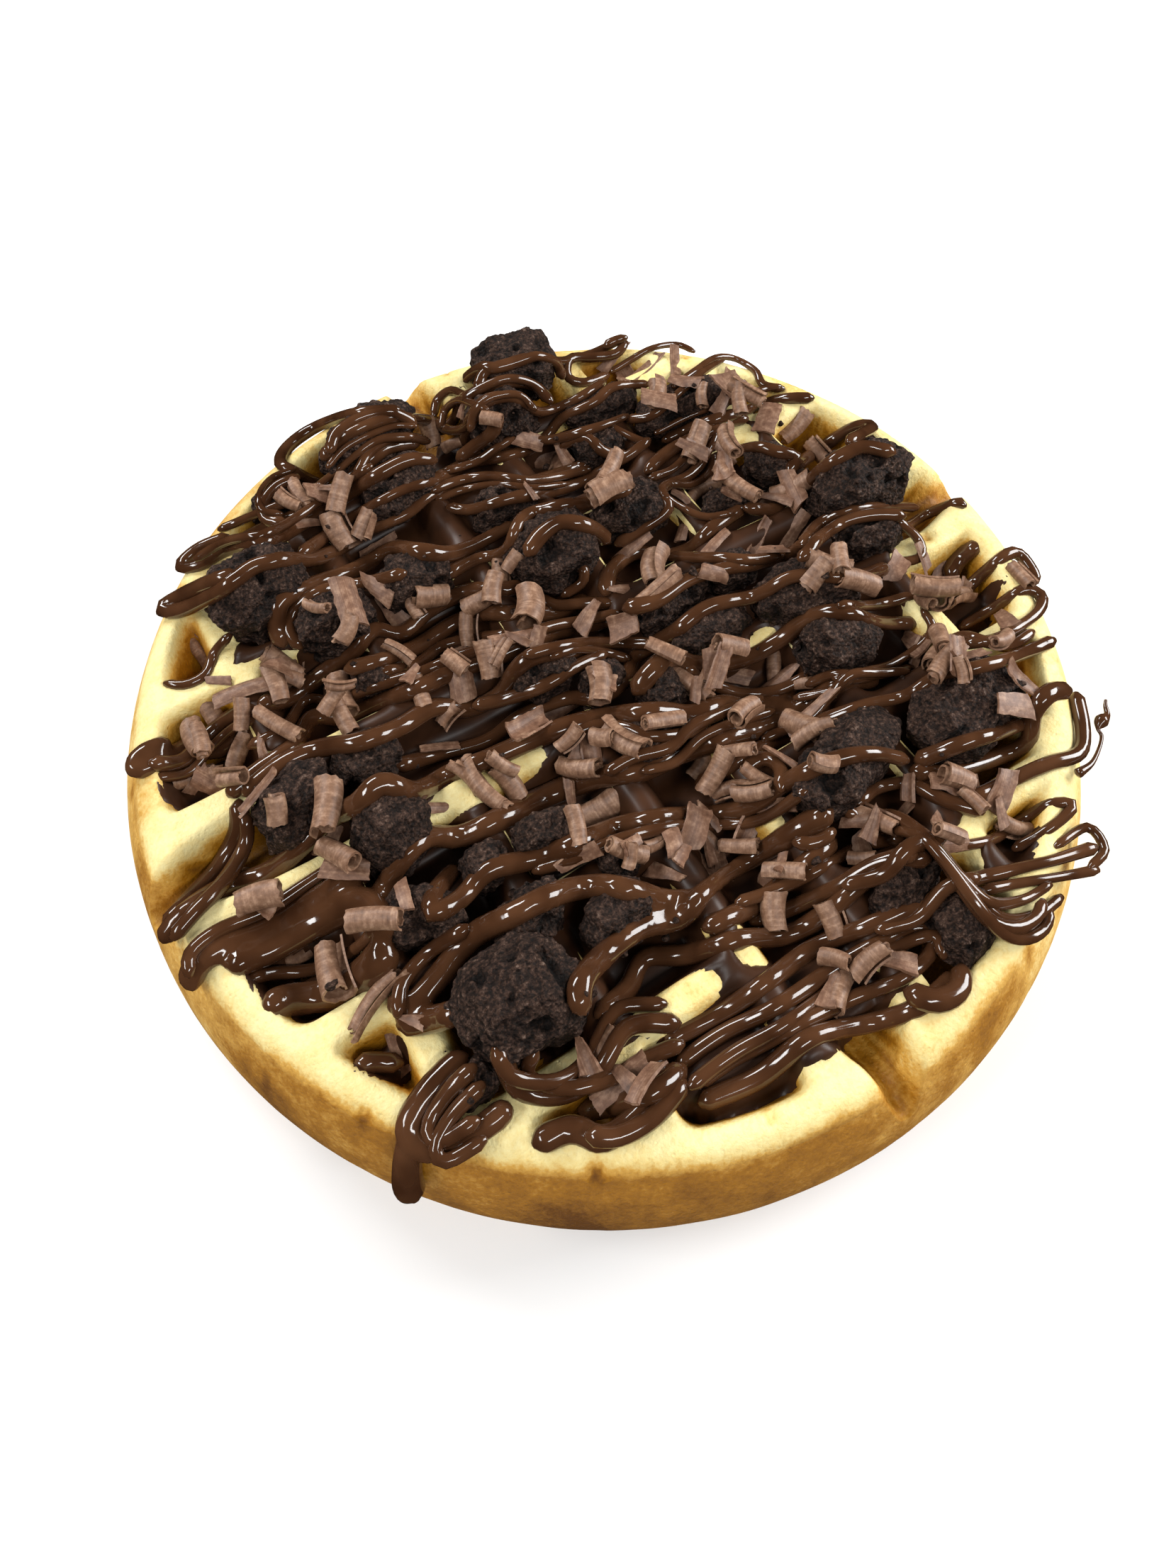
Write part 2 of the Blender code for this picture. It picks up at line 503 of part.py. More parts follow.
def part_neighbours(works, chunks):
    """Flattens each two chunks that would meet at a plane between them, so that both stay whole."""
    for i, (centre_a, size_a) in enumerate(chunks):
        for j in range(i + 1, len(chunks)):
            centre_b, size_b = chunks[j]
            between = centre_b - centre_a
            apart = between.length
            if apart > size_a.length + size_b.length:
                continue
            normal = between / apart
            reach_a = max((vert.co - centre_a).dot(normal) for vert in works[i].verts)
            reach_b = max((centre_b - vert.co).dot(normal) for vert in works[j].verts)
            spare = apart - reach_a - reach_b - CHUNK_TO_CHUNK
            if spare >= 0:
                continue
            limit_a = reach_a + spare * reach_a / (reach_a + reach_b)
            limit_b = apart - CHUNK_TO_CHUNK - limit_a
            for vert in works[i].verts:
                vert.co -= max((vert.co - centre_a).dot(normal) - limit_a, 0) * normal
            for vert in works[j].verts:
                vert.co += max((centre_b - vert.co).dot(normal) - limit_b, 0) * normal


def grown(made, distance, collection):
    """A copy with each corner moved out along its normal."""
    work = bmesh.new()
    work.from_mesh(made.data)
    work.normal_update()
    moved = [vert.co + vert.normal * distance for vert in work.verts]
    for vert, goal in zip(work.verts, moved):
        vert.co = goal
    return object_from(work, "grown", collection)


def main():
    for old in list(bpy.data.objects):
        bpy.data.objects.remove(old)
    parts = bpy.data.collections.new("belgian_waffle")
    cutters = bpy.data.collections.new("cutters")
    for collection in (parts, cutters):
        bpy.context.scene.collection.children.link(collection)
    rng = random.Random(SEED)

    chunks = []
    for x, y, half_x, half_y, half_z, lift in CHUNKS:
        z = THICKNESS + lift * MM
        chunks.append((Vector((*seen_at(x * MM, y * MM, z), z)), Vector((half_x, half_y, half_z)) * MM))
    ground = Ground(chunks)

    waffle = grid_disc(parts)
    combine(waffle, pocket_cutters(cutters), "DIFFERENCE", "EXACT")
    combine(waffle, [rim_ring(cutters)], "UNION", "MANIFOLD")
    combine(waffle, groove_cutters(cutters), "DIFFERENCE", "MANIFOLD")

    toppings = []
    for half_thickness, *readings in STRANDS:
        half_thickness *= MM
        route = [ground.point(x, y, half_thickness * SAUCE_LIFT) for x, y in spaced(readings, STRAND_STEP)]
        toppings.append(strand(route, half_thickness, cutters))
    toppings.append(strand(spaced(DRIP, DRIP_STEP), DRIP_HALF_THICKNESS, cutters))
    for spec in FLAKES:
        toppings.append(flake(ground, spec, rng, cutters))
    combine(waffle, toppings, "UNION", "MANIFOLD")

    works = [chunk(centre, size, rng) for centre, size in chunks]
    part_neighbours(works, chunks)
    brownies = [object_from(work, f"brownie_{k + 1:02d}", parts) for k, work in enumerate(works)]
    combine(waffle, [grown(made, CHUNK_TO_WAFFLE, cutters) for made in brownies], "DIFFERENCE", "MANIFOLD")
    keep_largest(waffle)

    waffle.data.materials.append(material("waffle", WAFFLE_COLOUR, 0.6))
    crumb = material("brownie", BROWNIE_COLOUR, 0.9)
    for made in brownies:
        made.data.materials.append(crumb)


main()
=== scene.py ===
"""The looks of a round Belgian waffle with brownie chunks, chocolate sauce and chocolate curls.

Lengths are in metres, apart from those in the lists of places and in the values that end in _MM, which are
in millimetres. The x and y of toppings are readings on the plane of the waffle's top face, as the photo
shows it from EYE, so seen_at() moves what stands above that plane back towards EYE.
"""

import math
import random

import bmesh
import bpy
import numpy as np
from mathutils import Matrix, Vector
from mathutils.bvhtree import BVHTree


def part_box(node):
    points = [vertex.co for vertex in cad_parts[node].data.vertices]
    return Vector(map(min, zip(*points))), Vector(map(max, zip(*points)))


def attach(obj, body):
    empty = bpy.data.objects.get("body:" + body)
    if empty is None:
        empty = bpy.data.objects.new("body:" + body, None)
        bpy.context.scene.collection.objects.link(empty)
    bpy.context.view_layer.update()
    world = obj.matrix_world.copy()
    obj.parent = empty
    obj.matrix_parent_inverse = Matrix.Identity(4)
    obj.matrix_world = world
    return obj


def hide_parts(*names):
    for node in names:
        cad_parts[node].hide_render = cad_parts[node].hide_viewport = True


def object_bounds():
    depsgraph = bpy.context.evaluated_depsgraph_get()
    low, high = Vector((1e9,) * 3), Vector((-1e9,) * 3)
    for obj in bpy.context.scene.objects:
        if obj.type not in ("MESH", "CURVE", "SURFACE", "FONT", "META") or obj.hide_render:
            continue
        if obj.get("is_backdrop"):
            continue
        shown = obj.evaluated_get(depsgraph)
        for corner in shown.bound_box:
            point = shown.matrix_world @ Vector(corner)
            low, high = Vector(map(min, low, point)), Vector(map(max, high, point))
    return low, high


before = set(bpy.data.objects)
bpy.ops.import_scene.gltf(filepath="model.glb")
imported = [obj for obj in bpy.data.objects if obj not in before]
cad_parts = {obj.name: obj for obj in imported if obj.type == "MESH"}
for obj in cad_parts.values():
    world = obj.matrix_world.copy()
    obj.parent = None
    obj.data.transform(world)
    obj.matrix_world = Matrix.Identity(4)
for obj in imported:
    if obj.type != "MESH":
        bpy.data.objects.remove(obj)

MM = 0.001
SEED = 7

# The waffle, with the sizes of the solid that it replaces
SEAM_RADIUS = 0.0898
THICKNESS = 0.0350
PITCH = 0.0240
FIRST_RIDGE = 0.0097
RIDGE_WIDTH = 0.0046
RIDGE_DROP = 0.0004
RIDGE_DROPS_OVER = 3 * MM
POCKET_CIRCLE = 0.0798
POCKET_DEPTH = 0.0115
POCKET_WALL_RUN = 0.0030
POCKET_CORNER = 2.4 * MM
WALL_ROUNDING = 0.4 * MM
GROOVE_DEPTH = 0.0105
GROOVE_FLOOR_HALF = 0.0026
GROOVE_CLOSES = 0.0680
GROOVE_NARROWS = 0.55
GROOVE_RISES = 0.40
RIB_PITCH = 0.0016
RIB_DEPTH = 0.34 * MM
# How far down a wall a groove's floor counts as, for its browning, and how much less at the rim
GROOVE_SHARE = 0.9
GROOVE_SHARE_LESS = 0.62
# The outer side from the flat top down to the seam: radius and height
RIM_POINTS = (
    (0.0780, 0.0350), (0.0802, 0.0349), (0.0834, 0.0337), (0.0866, 0.0287), (0.0888, 0.0230),
    (SEAM_RADIUS, 0.0175),
)
# The mesh is a sheet of square cells above and one below, out to SHEET_EDGE, with rings of points between
GRID = 0.00085
SHEET_EDGE = 0.0848
STRETCH_FROM = 0.080
SIDE_RINGS = 26
SIDE_ROUNDS_TO = 4 * MM

# Unevenness of the batter: how far its grid wanders, its waves and its grain, and how its side swells, each
# with the length over which it changes
WARP = 0.45 * MM
WARP_LENGTH = 0.013
WAVE = 0.25 * MM
WAVE_LENGTH = 0.018
GRAIN = 0.12 * MM
GRAIN_LENGTH = 0.0032
SIDE_SWELL = 0.18 * MM
SIDE_SWELL_LENGTH = 0.014
SIDE_SUNK = 0.15 * MM

# How brown the batter is, from 0 for cream to 1 for dark brown, and what each kind of place adds
BROWN_LEAST = 0.07
BROWN_WALLS = 0.62
BROWN_SIDE = 0.28
BROWN_FRONT = 0.42
# The next value is painted light: it takes brown off the right side so that it looks more brightly lit
PAINTED_LIGHT_RIGHT = -0.30
BROWN_PATCHES = 0.12
BROWN_BLUSH = 0.24
BROWN_RIBS = 0.24
BROWN_BUBBLE = 0.3
BROWN_UNDERSIDE = 0.10
# The brownest side, and the side painted paler as if more light fell on it, in radians clockwise from +X, and
# the radii from which the outer side and the ribs are browned
FRONT_TURN = 1.9
PAINTED_LIGHT_TURN = 0.7
OUTER_FROM = 0.0792
OUTER_FADE = 0.0030
RIBS_FROM = 0.0700
RIBS_FADE = 0.0060
# The outer side's brown is full this far below the top and fades out over this run above, and its border
# wanders by this much
SIDE_BROWN_FROM = 4.4 * MM
SIDE_BROWN_FADE = 4.1 * MM
SIDE_BROWN_WANDER = 0.9 * MM
SIDE_BROWN_LENGTH = 0.016
PATCH_LENGTH = 0.015
BLUSH_LENGTH = 0.017

# The camera's place, and how it is turned, in degrees
EYE = Vector((-0.0578, -0.0915, 0.2088))
AZIMUTH = -30.93
ELEVATION = 54.78
ROLL = -0.53
IMAGE = (1659, 2212)
FOCAL_PX = 1576.8
AXIS_PX = (829.7, 837.7)
SENSOR_MM = 36.0
CLIP_START = 0.005

# Brownie chunks: the mesh's cell, the reach that joins corners, how far form, finer form, grain and pits move
# the faces and over what lengths, and how far they may sink below the solid
CHUNK_VOXEL = 0.00048
WELD = 0.00002
CHUNK_FORM_MM = 1.0
CHUNK_FINER_MM = 0.45
CHUNK_GRAIN_MM = 0.75
CHUNK_PITS_MM = -1.1
CHUNK_FORM_LENGTH = 0.0075
CHUNK_FINER_LENGTH = 0.0034
CHUNK_GRAIN_LENGTH = 0.0013
CHUNK_PITS_LENGTH = 0.0026
CHUNK_SINKS = 0.3 * MM

# Sauce strands: the mesh, how much thinner they are than listed, how they wander and swell, and how high they
# lie. Each swelling is its share of the thickness, its place in the noise and its length
STRAND_STEP = 0.0012
STRAND_SIDES = 12
STRAND_FLATTEN = 0.95
STRAND_NARROWER = 0.86
STRAND_LEAST = 0.7 * MM
STRAND_WANDER = 0.40 * MM
STRAND_WANDER_LENGTH = 0.012
# Thinner still towards the rear and the right: the share, and the stretch of readings that it grows over
SLIMMER_FROM = 5 * MM
REAR_SLIMMER = 0.20
REAR_SLIMMER_OVER = 50 * MM
RIGHT_SLIMMER = 0.14
RIGHT_SLIMMER_OVER = 45 * MM
# How much a strand's height is evened out: at first, so that it spans gaps, and then as a whole
SPANNING_PASSES = 14
SMOOTHING_PASSES = 7
SPANNING_SINK = 0.1 * MM
SWELLINGS = ((0.15, 0.9, 0.014), (0.05, 0.2, 0.0055))
END_TIP = 0.00015
SAUCE_LIFT = 0.50
# Strands thicker than this, half across, run together into one skin
MELTED_FROM = 0.0017
SAUCE_VOXEL = 0.00072
SAUCE_SMOOTHING = 5
# The share of long strands that have a thinner one beside them, its half thickness and its distance
ECHO_SHARE = 0.35
ECHO_HALF_MM = (1.1, 1.5)
ECHO_AWAY_MM = (0.2, 1.8)
ECHO_SLOPE = 0.06

# How far toppings may sag below the top face inside the rim, and on the rim from RIM_FROM outwards
SAG = 0.0070
RIM_SAG = 0.0024
RIM_FROM = 0.0800
# The height from which a line of sight is followed down, its step, and the toppings' gap to the CAD box's top
TOP_OF_ALL = 0.0560
SEARCH_STEP = 0.25 * MM
CEILING_GAP = 0.0001

# Extra small flakes, tried at random near the listed ones. SLIMNESS is their width over their length
EXTRA_FLAKES = 190
EXTRA_REACH_MM = 76
EXTRA_SPREAD_MM = 5.0
EXTRA_LENGTH_MM = (4.0, 8.5)
EXTRA_SLIMNESS = (0.45, 0.85)
EXTRA_WIDEST_MM = 6.0
EXTRA_TUBES = 0.45
# Flakes: the thickness of curls and of shavings, the share of their width that their middle lies above the
# ground, the steepest slopes that they follow, and the most that they are tipped off those
CURL_THICK = 0.00036
SHAVING_THICK = (0.00034, 0.00058)
CURL_RISE = 0.42
SHAVING_RISE = 0.16
STEEPEST_ALONG = 0.55
STEEPEST_ACROSS = 0.6
TIPPED_ALONG = 0.10
TIPPED_ACROSS = 0.18
# Faces of flakes that meet at more than this, in degrees, keep their edge sharp
SHARP_FROM = 38
# Small crumbs near the chunks
CRUMB_COUNT = 70
CRUMB_REACH = 0.0780
CRUMB_SPREAD_MM = 11
CRUMB_LARGEST = 1.1 * MM
# Chunks with nothing scattered on them: reading x, y and radius
BARE = ((-43, -45, 11), (67, 8.5, 11))

# Places where small bubbles opened in the batter: x, y, radius and depth
BUBBLES = (
    (-45, -71, 1.2, 1.6), (70, -9, 1.2, 1.4), (71, 29, 1.2, 1.4), (-83, 22, 1.0, 0.6), (-20, -78, 1.1, 0.7),
    (58, 58, 1.0, 0.6), (30, -80, 1.2, 0.7), (-60, 57, 1.1, 0.6), (80, 33, 0.9, 0.5), (-81, -33, 1.0, 0.6),
    (10, 82, 1.0, 0.6), (46, -72, 1.1, 0.7), (-70, -47, 1.2, 0.7), (77, -38, 1.0, 0.6),
)

# Sauce strands: half thickness, then the readings x, y, x, y and so on along the strand. The first ones go
# from the rear rim to the front, and thinner or later ones lie on them
STRANDS = (
    (2.0, -4, 76.5, -9, 79, -16, 81, -23, 81, -29, 79, -32, 75.5, -30, 71, -27, 65),
    (2.2, -24, 72, -19, 75, -13, 76, -7, 75.5, -3, 73, 2, 68),
    (1.7, 1, 71, 4, 75, 8, 76.3, 10, 73.5, 12, 70),
    (2.0, 0, 66, 5, 68, 9, 72, 14, 72.5, 20, 71.5, 24, 68, 25, 62),
    (2.0, 13, 73, 17, 77, 23, 77, 29, 75.5, 33, 71.5, 40, 70, 49, 70.3),
    (2.0, 49, 69, 45, 67, 40, 68.5, 35, 70.5, 32, 66, 34, 62.5, 40, 62),
    (2.0, 3, 60, 8, 66, 13, 69, 18, 67.5, 20, 63.5, 22, 60, 30, 59, 38, 60.5),
    (1.4, 41, 62.5, 47, 63.5, 53, 64, 58, 62, 60, 58),
    (2.2, -49, 60.5, -40, 61, -31, 61, -24, 63.5, -17, 66.5, -11, 68, -5, 65.5),
    (2.2, -48, 62.5, -54, 63, -59, 61, -56, 59, -49, 59.8, -41, 57.5, -33, 58, -25, 60, -16, 62, -9, 62.5,
     -4, 59.5),
    (2.2, -50, 54, -58, 54, -65, 53, -62, 50.8, -55, 51, -47, 53.8, -42, 52, -36, 48.8, -29, 48.8, -24,
     50),
    (1.9, -38, 51.5, -31, 53, -24, 54.6, -14, 55.6, -6, 55, 2, 55, 11, 52, 18, 52.8, 25, 56, 33, 56.5, 39,
     58.3, 46, 55),
    (1.9, -24, 50, -16, 49.5, -9, 51.5, -2, 50.5, 4, 48.5, 8, 45, 14, 43.4, 23, 42),
    (1.7, 20, 49, 26, 48.5, 27, 43, 31, 39.5),
    (1.5, 32, 49.5, 34, 44, 36, 40),
    (2.4, -49, 33, -48, 38.5, -45, 43, -38, 43.3, -30, 42.3, -22, 43.2, -18, 40, -13, 36, -6, 35.6, 2,
     36.2),
    (1.9, -8, 47, -4, 44, 3, 42.5, 9, 40.5, 16, 38.5, 24, 39, 31, 39.5, 37, 41),
    (1.8, -16, 32, -9, 32.4, -3, 31.5, 4, 36.5, 11, 35.5, 17, 33, 26, 31.5),
    (2.2, 0, 28, 5, 31, 10, 31.5, 14, 27, 15, 22),
    (1.7, 16, 21, 23, 21.6, 30, 23, 32, 28, 39, 28.3, 45, 31.5, 51, 36),
    (1.9, 31, 34, 37, 36, 45, 36.5, 53, 36.5, 58, 35),
    (2.0, 39, 39, 48, 39, 57, 37.6, 65, 36.6, 70, 35, 74, 32.5),
    (1.8, 36, 48.5, 41, 46.5, 50, 49, 58, 51.3, 65, 53),
    (1.7, 50, 51.5, 57, 53, 63, 54, 66.5, 51.5, 68, 46, 67, 41.5, 70, 38),
    (2.1, -73, 24.8, -78, 25, -80.5, 23, -76, 21.5, -71, 22.3, -67, 19, -62, 20),
    (2.3, -58, 24, -52, 22.6, -45, 24, -38, 25.3, -33, 28, -29, 24.5, -21, 26.6, -14, 26, -9, 23.5, -4,
     21.6),
    (2.0, -41, 22.5, -35, 21, -28, 20, -20, 20.8, -14, 20, -8, 16.5, -2, 13.2, 5, 12.5),
    (2.0, 8, 12, 12, 16, 18, 17.5, 22, 14, 28, 12.5, 35, 14.5, 43, 15.6),
    (2.2, -69, 10, -62, 11.8, -55, 13, -50, 16.5, -45, 13.5, -38, 13, -31, 12, -22, 11.6, -13, 10, -5, 9.5,
     2, 7.5, 8, 6),
    (2.0, -66, 9, -58, 10.8, -51, 10, -45, 7.5, -38, 6.5, -31, 7, -26, 3.5, -20, 3.2, -15, 6, -10, 7, -3,
     4.5, 3, 1.5),
    (2.0, -85, -6, -80, -3.5, -74, -1, -69, 3, -67, 8),
    (2.4, -86.5, -8.5, -82, -6, -75, -5, -68, -6.5, -61, -5, -56, -3, -50, -3, -45, -1.6, -41, -6, -34, -6,
     -26, -7, -18, -8, -10, -9.5, -3, -12, 3, -15, 7, -18.5, 13, -19.5, 18, -23.5, 26, -24),
    (1.8, -42, 0, -34, -2, -26, -4, -19, -3, -10, -4, -5, -6.8, 1, -6, 6, -2.5, 14, -2, 23, -0.7, 32, -3,
     40, -3, 46, -6, 51, -10, 58, -11.5),
    (2.3, -55, -20, -49, -16, -43, -14.2, -38, -17, -30, -18, -21, -18.5, -13, -20, -6, -23, 2, -23.6, 10,
     -25, 18, -27, 26, -27, 34, -27, 40, -30),
    (2.0, -41, -21.5, -46, -23.5, -47.5, -26, -43, -26.3, -37, -24.5, -31, -26.5, -24, -28, -16, -29, -8,
     -31.5, -1, -35.5, 6, -38, 16, -37.5, 24, -38.5, 30, -41, 34, -45),
    (2.8, -84.5, -18, -83, -14.8, -78, -14, -70, -15.3, -62, -15, -55, -14.5),
    (3.0, -79, -17, -72, -18, -64, -18, -57, -19, -55, -26),
    (3.2, -76.5, -26, -73, -27, -67, -29.5, -60, -29.5, -56, -27),
    (2.3, -60, -34.5, -57, -37, -51, -35.3, -45, -33, -38, -33.2, -30, -34, -23, -36.3, -18.5, -40, -15,
     -44, -10, -47),
    (2.2, -60, -39, -55, -41, -51, -42),
    (2.6, -53, -48, -60, -49.3, -65, -52, -64, -56, -58, -57.7, -51, -57.5),
    (1.8, -49, -51, -49, -56, -44, -60, -38, -60, -31, -57, -24, -60.5),
    (2.4, -51, -63.3, -45, -64.5, -42, -68, -34, -67.5, -29, -63),
    (2.2, -36, -52, -34, -48, -28, -46, -21, -45.5, -15, -47.5, -9, -46, 0, -45.5, 9, -45, 17, -45.5),
    (2.0, -34, -53.3, -28, -52.5, -23, -50, -17, -53, -9, -55, -2, -58.3, 6, -59, 13, -58, 20, -57.8, 25,
     -60.5),
    (1.8, -13, -50.5, -4, -51.5, 5, -51, 14, -50),
    (1.6, -27, -61.5, -18, -62.3, -9, -62.3, 0, -62, 9, -63.8, 18, -65.3, 27, -66.3, 35, -68.7, 43, -71.3,
     50, -73),
    (1.6, -28, -65.5, -19, -65, -10, -66, 0, -66, 9, -66.5, 17, -68.5, 16, -72, 9, -73, 0, -71, -9, -69.8,
     -19, -68.8, -27, -68.7),
    (1.8, -28, -71.5, -19, -72.8, -9, -72.5, 0, -75.5, 8, -77.3, 16, -77),
    (1.6, 19, -49, 20, -52, 25, -54.5, 27, -60, 27, -67, 28, -73.5, 33, -76, 39, -76),
    (1.6, 21, -46.7, 26, -46.3, 31, -48.5, 34, -54, 38, -59),
    (1.9, 35, -46, 43, -47, 51, -49, 57, -50),
    (2.2, 33, -46.5, 39, -50.5, 47, -52.5, 54, -53, 59, -49.5, 64, -48, 67.5, -49.5),
    (1.9, 38, -56, 46, -57, 54, -58, 60, -59.3, 64, -56.5, 68, -50.5),
    (1.4, 29, -61, 36, -63.5, 43, -63.3, 49, -63.8, 52, -66, 47, -66.8, 38, -66.5),
    (1.2, 29, -69, 36, -71.5, 42, -74, 47, -76),
    (1.1, 44, -69.3, 51, -69.8, 50.5, -74, 46, -75),
    (2.0, 1, -9.3, 6, -7.3, 11, -6.5, 14, -10, 21, -13.3, 29, -13.8, 38, -12.8, 44, -15, 48, -20, 54, -24),
    (1.7, 0, -30, 9, -30, 18, -30.7, 27, -31.8, 35, -33, 42, -34.7, 50, -34.7, 57, -37, 65, -39, 73, -40),
    (1.5, 33, -25.5, 39, -28.5, 47, -29, 55, -27),
    (1.9, 57, -22, 65, -23, 73, -21.8, 81, -21.3, 81, -26, 79.5, -29),
    (1.7, 60, -29, 68, -29, 76, -29, 78, -32, 74, -34.3, 65, -34.5, 58, -32),
    (2.4, 66, -19, 71, -16.8, 77, -16.3),
    (1.6, 66, -5.8, 73, -5.2, 80, -6, 81, -7.5),
    (1.5, 67, -3, 67.5, -9, 65, -12.5, 60, -11),
    (1.8, 9, 7, 15, 5.6, 23, 6.6, 31, 5, 37, 2.5, 45, 1.2, 53, 4, 61, 4, 68, 0.5, 73, -3),
    (2.1, 43, 15.5, 48, 12, 56, 13, 65, 15.8, 73, 16, 78.5, 11),
    (1.9, 57, 18.5, 66, 20, 76, 21.3, 79.3, 19.3, 72, 18.5),
    (1.2, -70, 37, -67, 34.8, -63, 35, -60, 38.5, -56, 40.8),
    (1.8, -30, 70, -35, 70, -39, 67, -40, 63, -37, 60),
    (1.8, -46, 31, -46.5, 36, -43, 40, -37, 41, -30, 38.5, -22, 36.5),
    (1.8, -22, 73, -18, 77.5, -12, 79, -7, 78, -4, 74, -3, 71),
    (1.8, -20, 64, -15, 68.5, -10, 70, -6, 68.5, -3, 65),
    (1.7, 1, 70, 2, 66, 5, 64.5, 9, 66, 12, 70),
    (2.2, 0, 57, 5, 59, 10, 61, 13, 65),
    (1.4, -9, 52.5, -3, 52, 3, 50, 7, 47, 10, 44.5, 16, 42, 22, 40.5),
    (1.6, -4, 56, 3, 54.5, 9, 55.5, 14, 56, 17, 53, 22, 51, 30, 50, 37, 49.5),
    (1.5, 31, 32, 36, 31.5, 41, 33, 46, 35.5, 52, 36),
    (1.3, 33, 29, 37, 26, 42, 26.5, 46, 30),
    (2.0, 50, 29, 55, 27.5, 58, 24, 60, 21, 56, 18.5),
    (1.2, 31, 27, 32.5, 22, 35, 17.5, 40, 15.5),
    (1.7, -78, 23, -73, 20.5, -68, 22.5, -62, 24, -58, 23),
    (1.4, -36, 18.5, -30, 16.5, -24, 17.5, -18, 16, -12, 13.5),
    (1.4, -3, 18, -1, 14.5, 4, 12, 8, 9.5),
    (1.3, 1, 16, 6, 16.5, 8, 20),
    (1.6, 23, 13, 27, 10.5, 32, 7.5, 37, 4, 42, 2),
    (1.3, -12, 8, -6, 6.5, -1, 4.5, 3, 2, 7, -0.5, 11, -3),
    (1.2, -8, 5.5, -3, 4.5, 1, 1, 4, -2.5),
    (1.4, -25, 3.5, -18, 1.5, -11, 0.5, -5, 1, 1, 0.5),
    (1.4, -14, -10.5, -8, -11, -4, -14, -1, -18, 4, -20.5, 9, -21),
    (1.4, 12, -9, 13.5, -14, 17, -19, 23, -22, 30, -22.5),
    (1.3, -12, -20, -6, -20, 0, -21.5, 6, -20, 12, -20.5, 20, -22),
    (1.8, 45, -0.5, 52, 1.5, 59, 2, 65, 0, 69, -3),
    (1.5, 44, -13.5, 50, -17, 56, -18.5, 61, -19.5),
    (1.2, 25, -25, 32, -27.5, 38, -27, 44, -28.5, 52, -28, 56, -26, 57, -22),
    (1.1, 28, -24, 34, -25, 40, -29, 47, -31),
    (1.6, -60, -37.5, -57, -33.5, -51, -31.5, -44, -31),
    (1.9, -68, -40.5, -65, -42, -62, -44),
    (1.6, -53, -50, -58, -51, -62.5, -53.5, -62, -56, -56, -56.5),
    (1.5, -44, -52, -47, -55, -44, -59, -38, -61.5, -31, -62, -25, -63),
    (2.0, -43, -63, -38, -65, -32, -66.5, -27, -66),
    (1.7, -44, -66.5, -40, -69, -34, -69.5, -28, -68),
    (1.2, 15, -28.5, 24, -29.5, 30, -28, 36, -26.5, 41, -29, 46, -31.5),
    (1.5, 9, -31.5, 13, -31.5, 14.5, -34.5, 12, -38),
    (1.3, 8, -46.5, 11, -48.5, 15, -48.5),
    (1.5, -6, -53.5, 1, -55, 9, -56, 17, -56.2, 24, -58.5),
    (1.5, 52, -30.5, 59, -30.5, 62, -34, 65, -37, 71, -37),
    (1.5, 20, -48, 26, -54, 27, -60, 26.5, -67, 26.5, -73, 29, -76, 33, -76.5, 36, -75),
    (1.5, 10, -57, 17, -58.8, 24, -57.4, 30, -59),
    (1.4, 10, -65, 17, -66.8, 24, -65.4, 30, -67),
    (1.9, 12, 77, 18, 78.5, 28, 76.5, 32, 72, 31, 66),
    (1.5, 9, 72, 14, 73, 20, 72.5, 24, 68, 25, 61),
    (1.5, 6, 63, 10, 68, 15, 69.5, 20, 67, 21, 61),
    (2.4, 44, 69.8, 47, 70.3, 50, 70),
    (2.0, 8, -74.5, 11, -78, 15, -78.5, 18, -76),
)

# The drip over the front left rim, in true x, y and height
DRIP = ((-63.5, -51.5, 34.5), (-66.6, -54.6, 32.0), (-68.4, -56.8, 28.0), (-68.8, -57.4, 24.5))
DRIP_HALF_THICKNESS = 0.0026
DRIP_NARROWER = 0.8

# A loose thread of sauce off the right rim: true x, y, height and half thickness
WISP = (
    (57.0, -62.0, 35.0, 0.9), (60.5, -61.8, 34.6, 0.5), (64.0, -60.4, 34.0, 0.36),
    (66.6, -58.8, 33.6, 0.36), (67.2, -57.4, 33.6, 0.40), (68.8, -56.6, 33.6, 1.25),
    (70.6, -56.2, 33.6, 0.60), (71.6, -54.8, 33.8, 0.40), (72.4, -54.0, 34.0, 0.30),
)

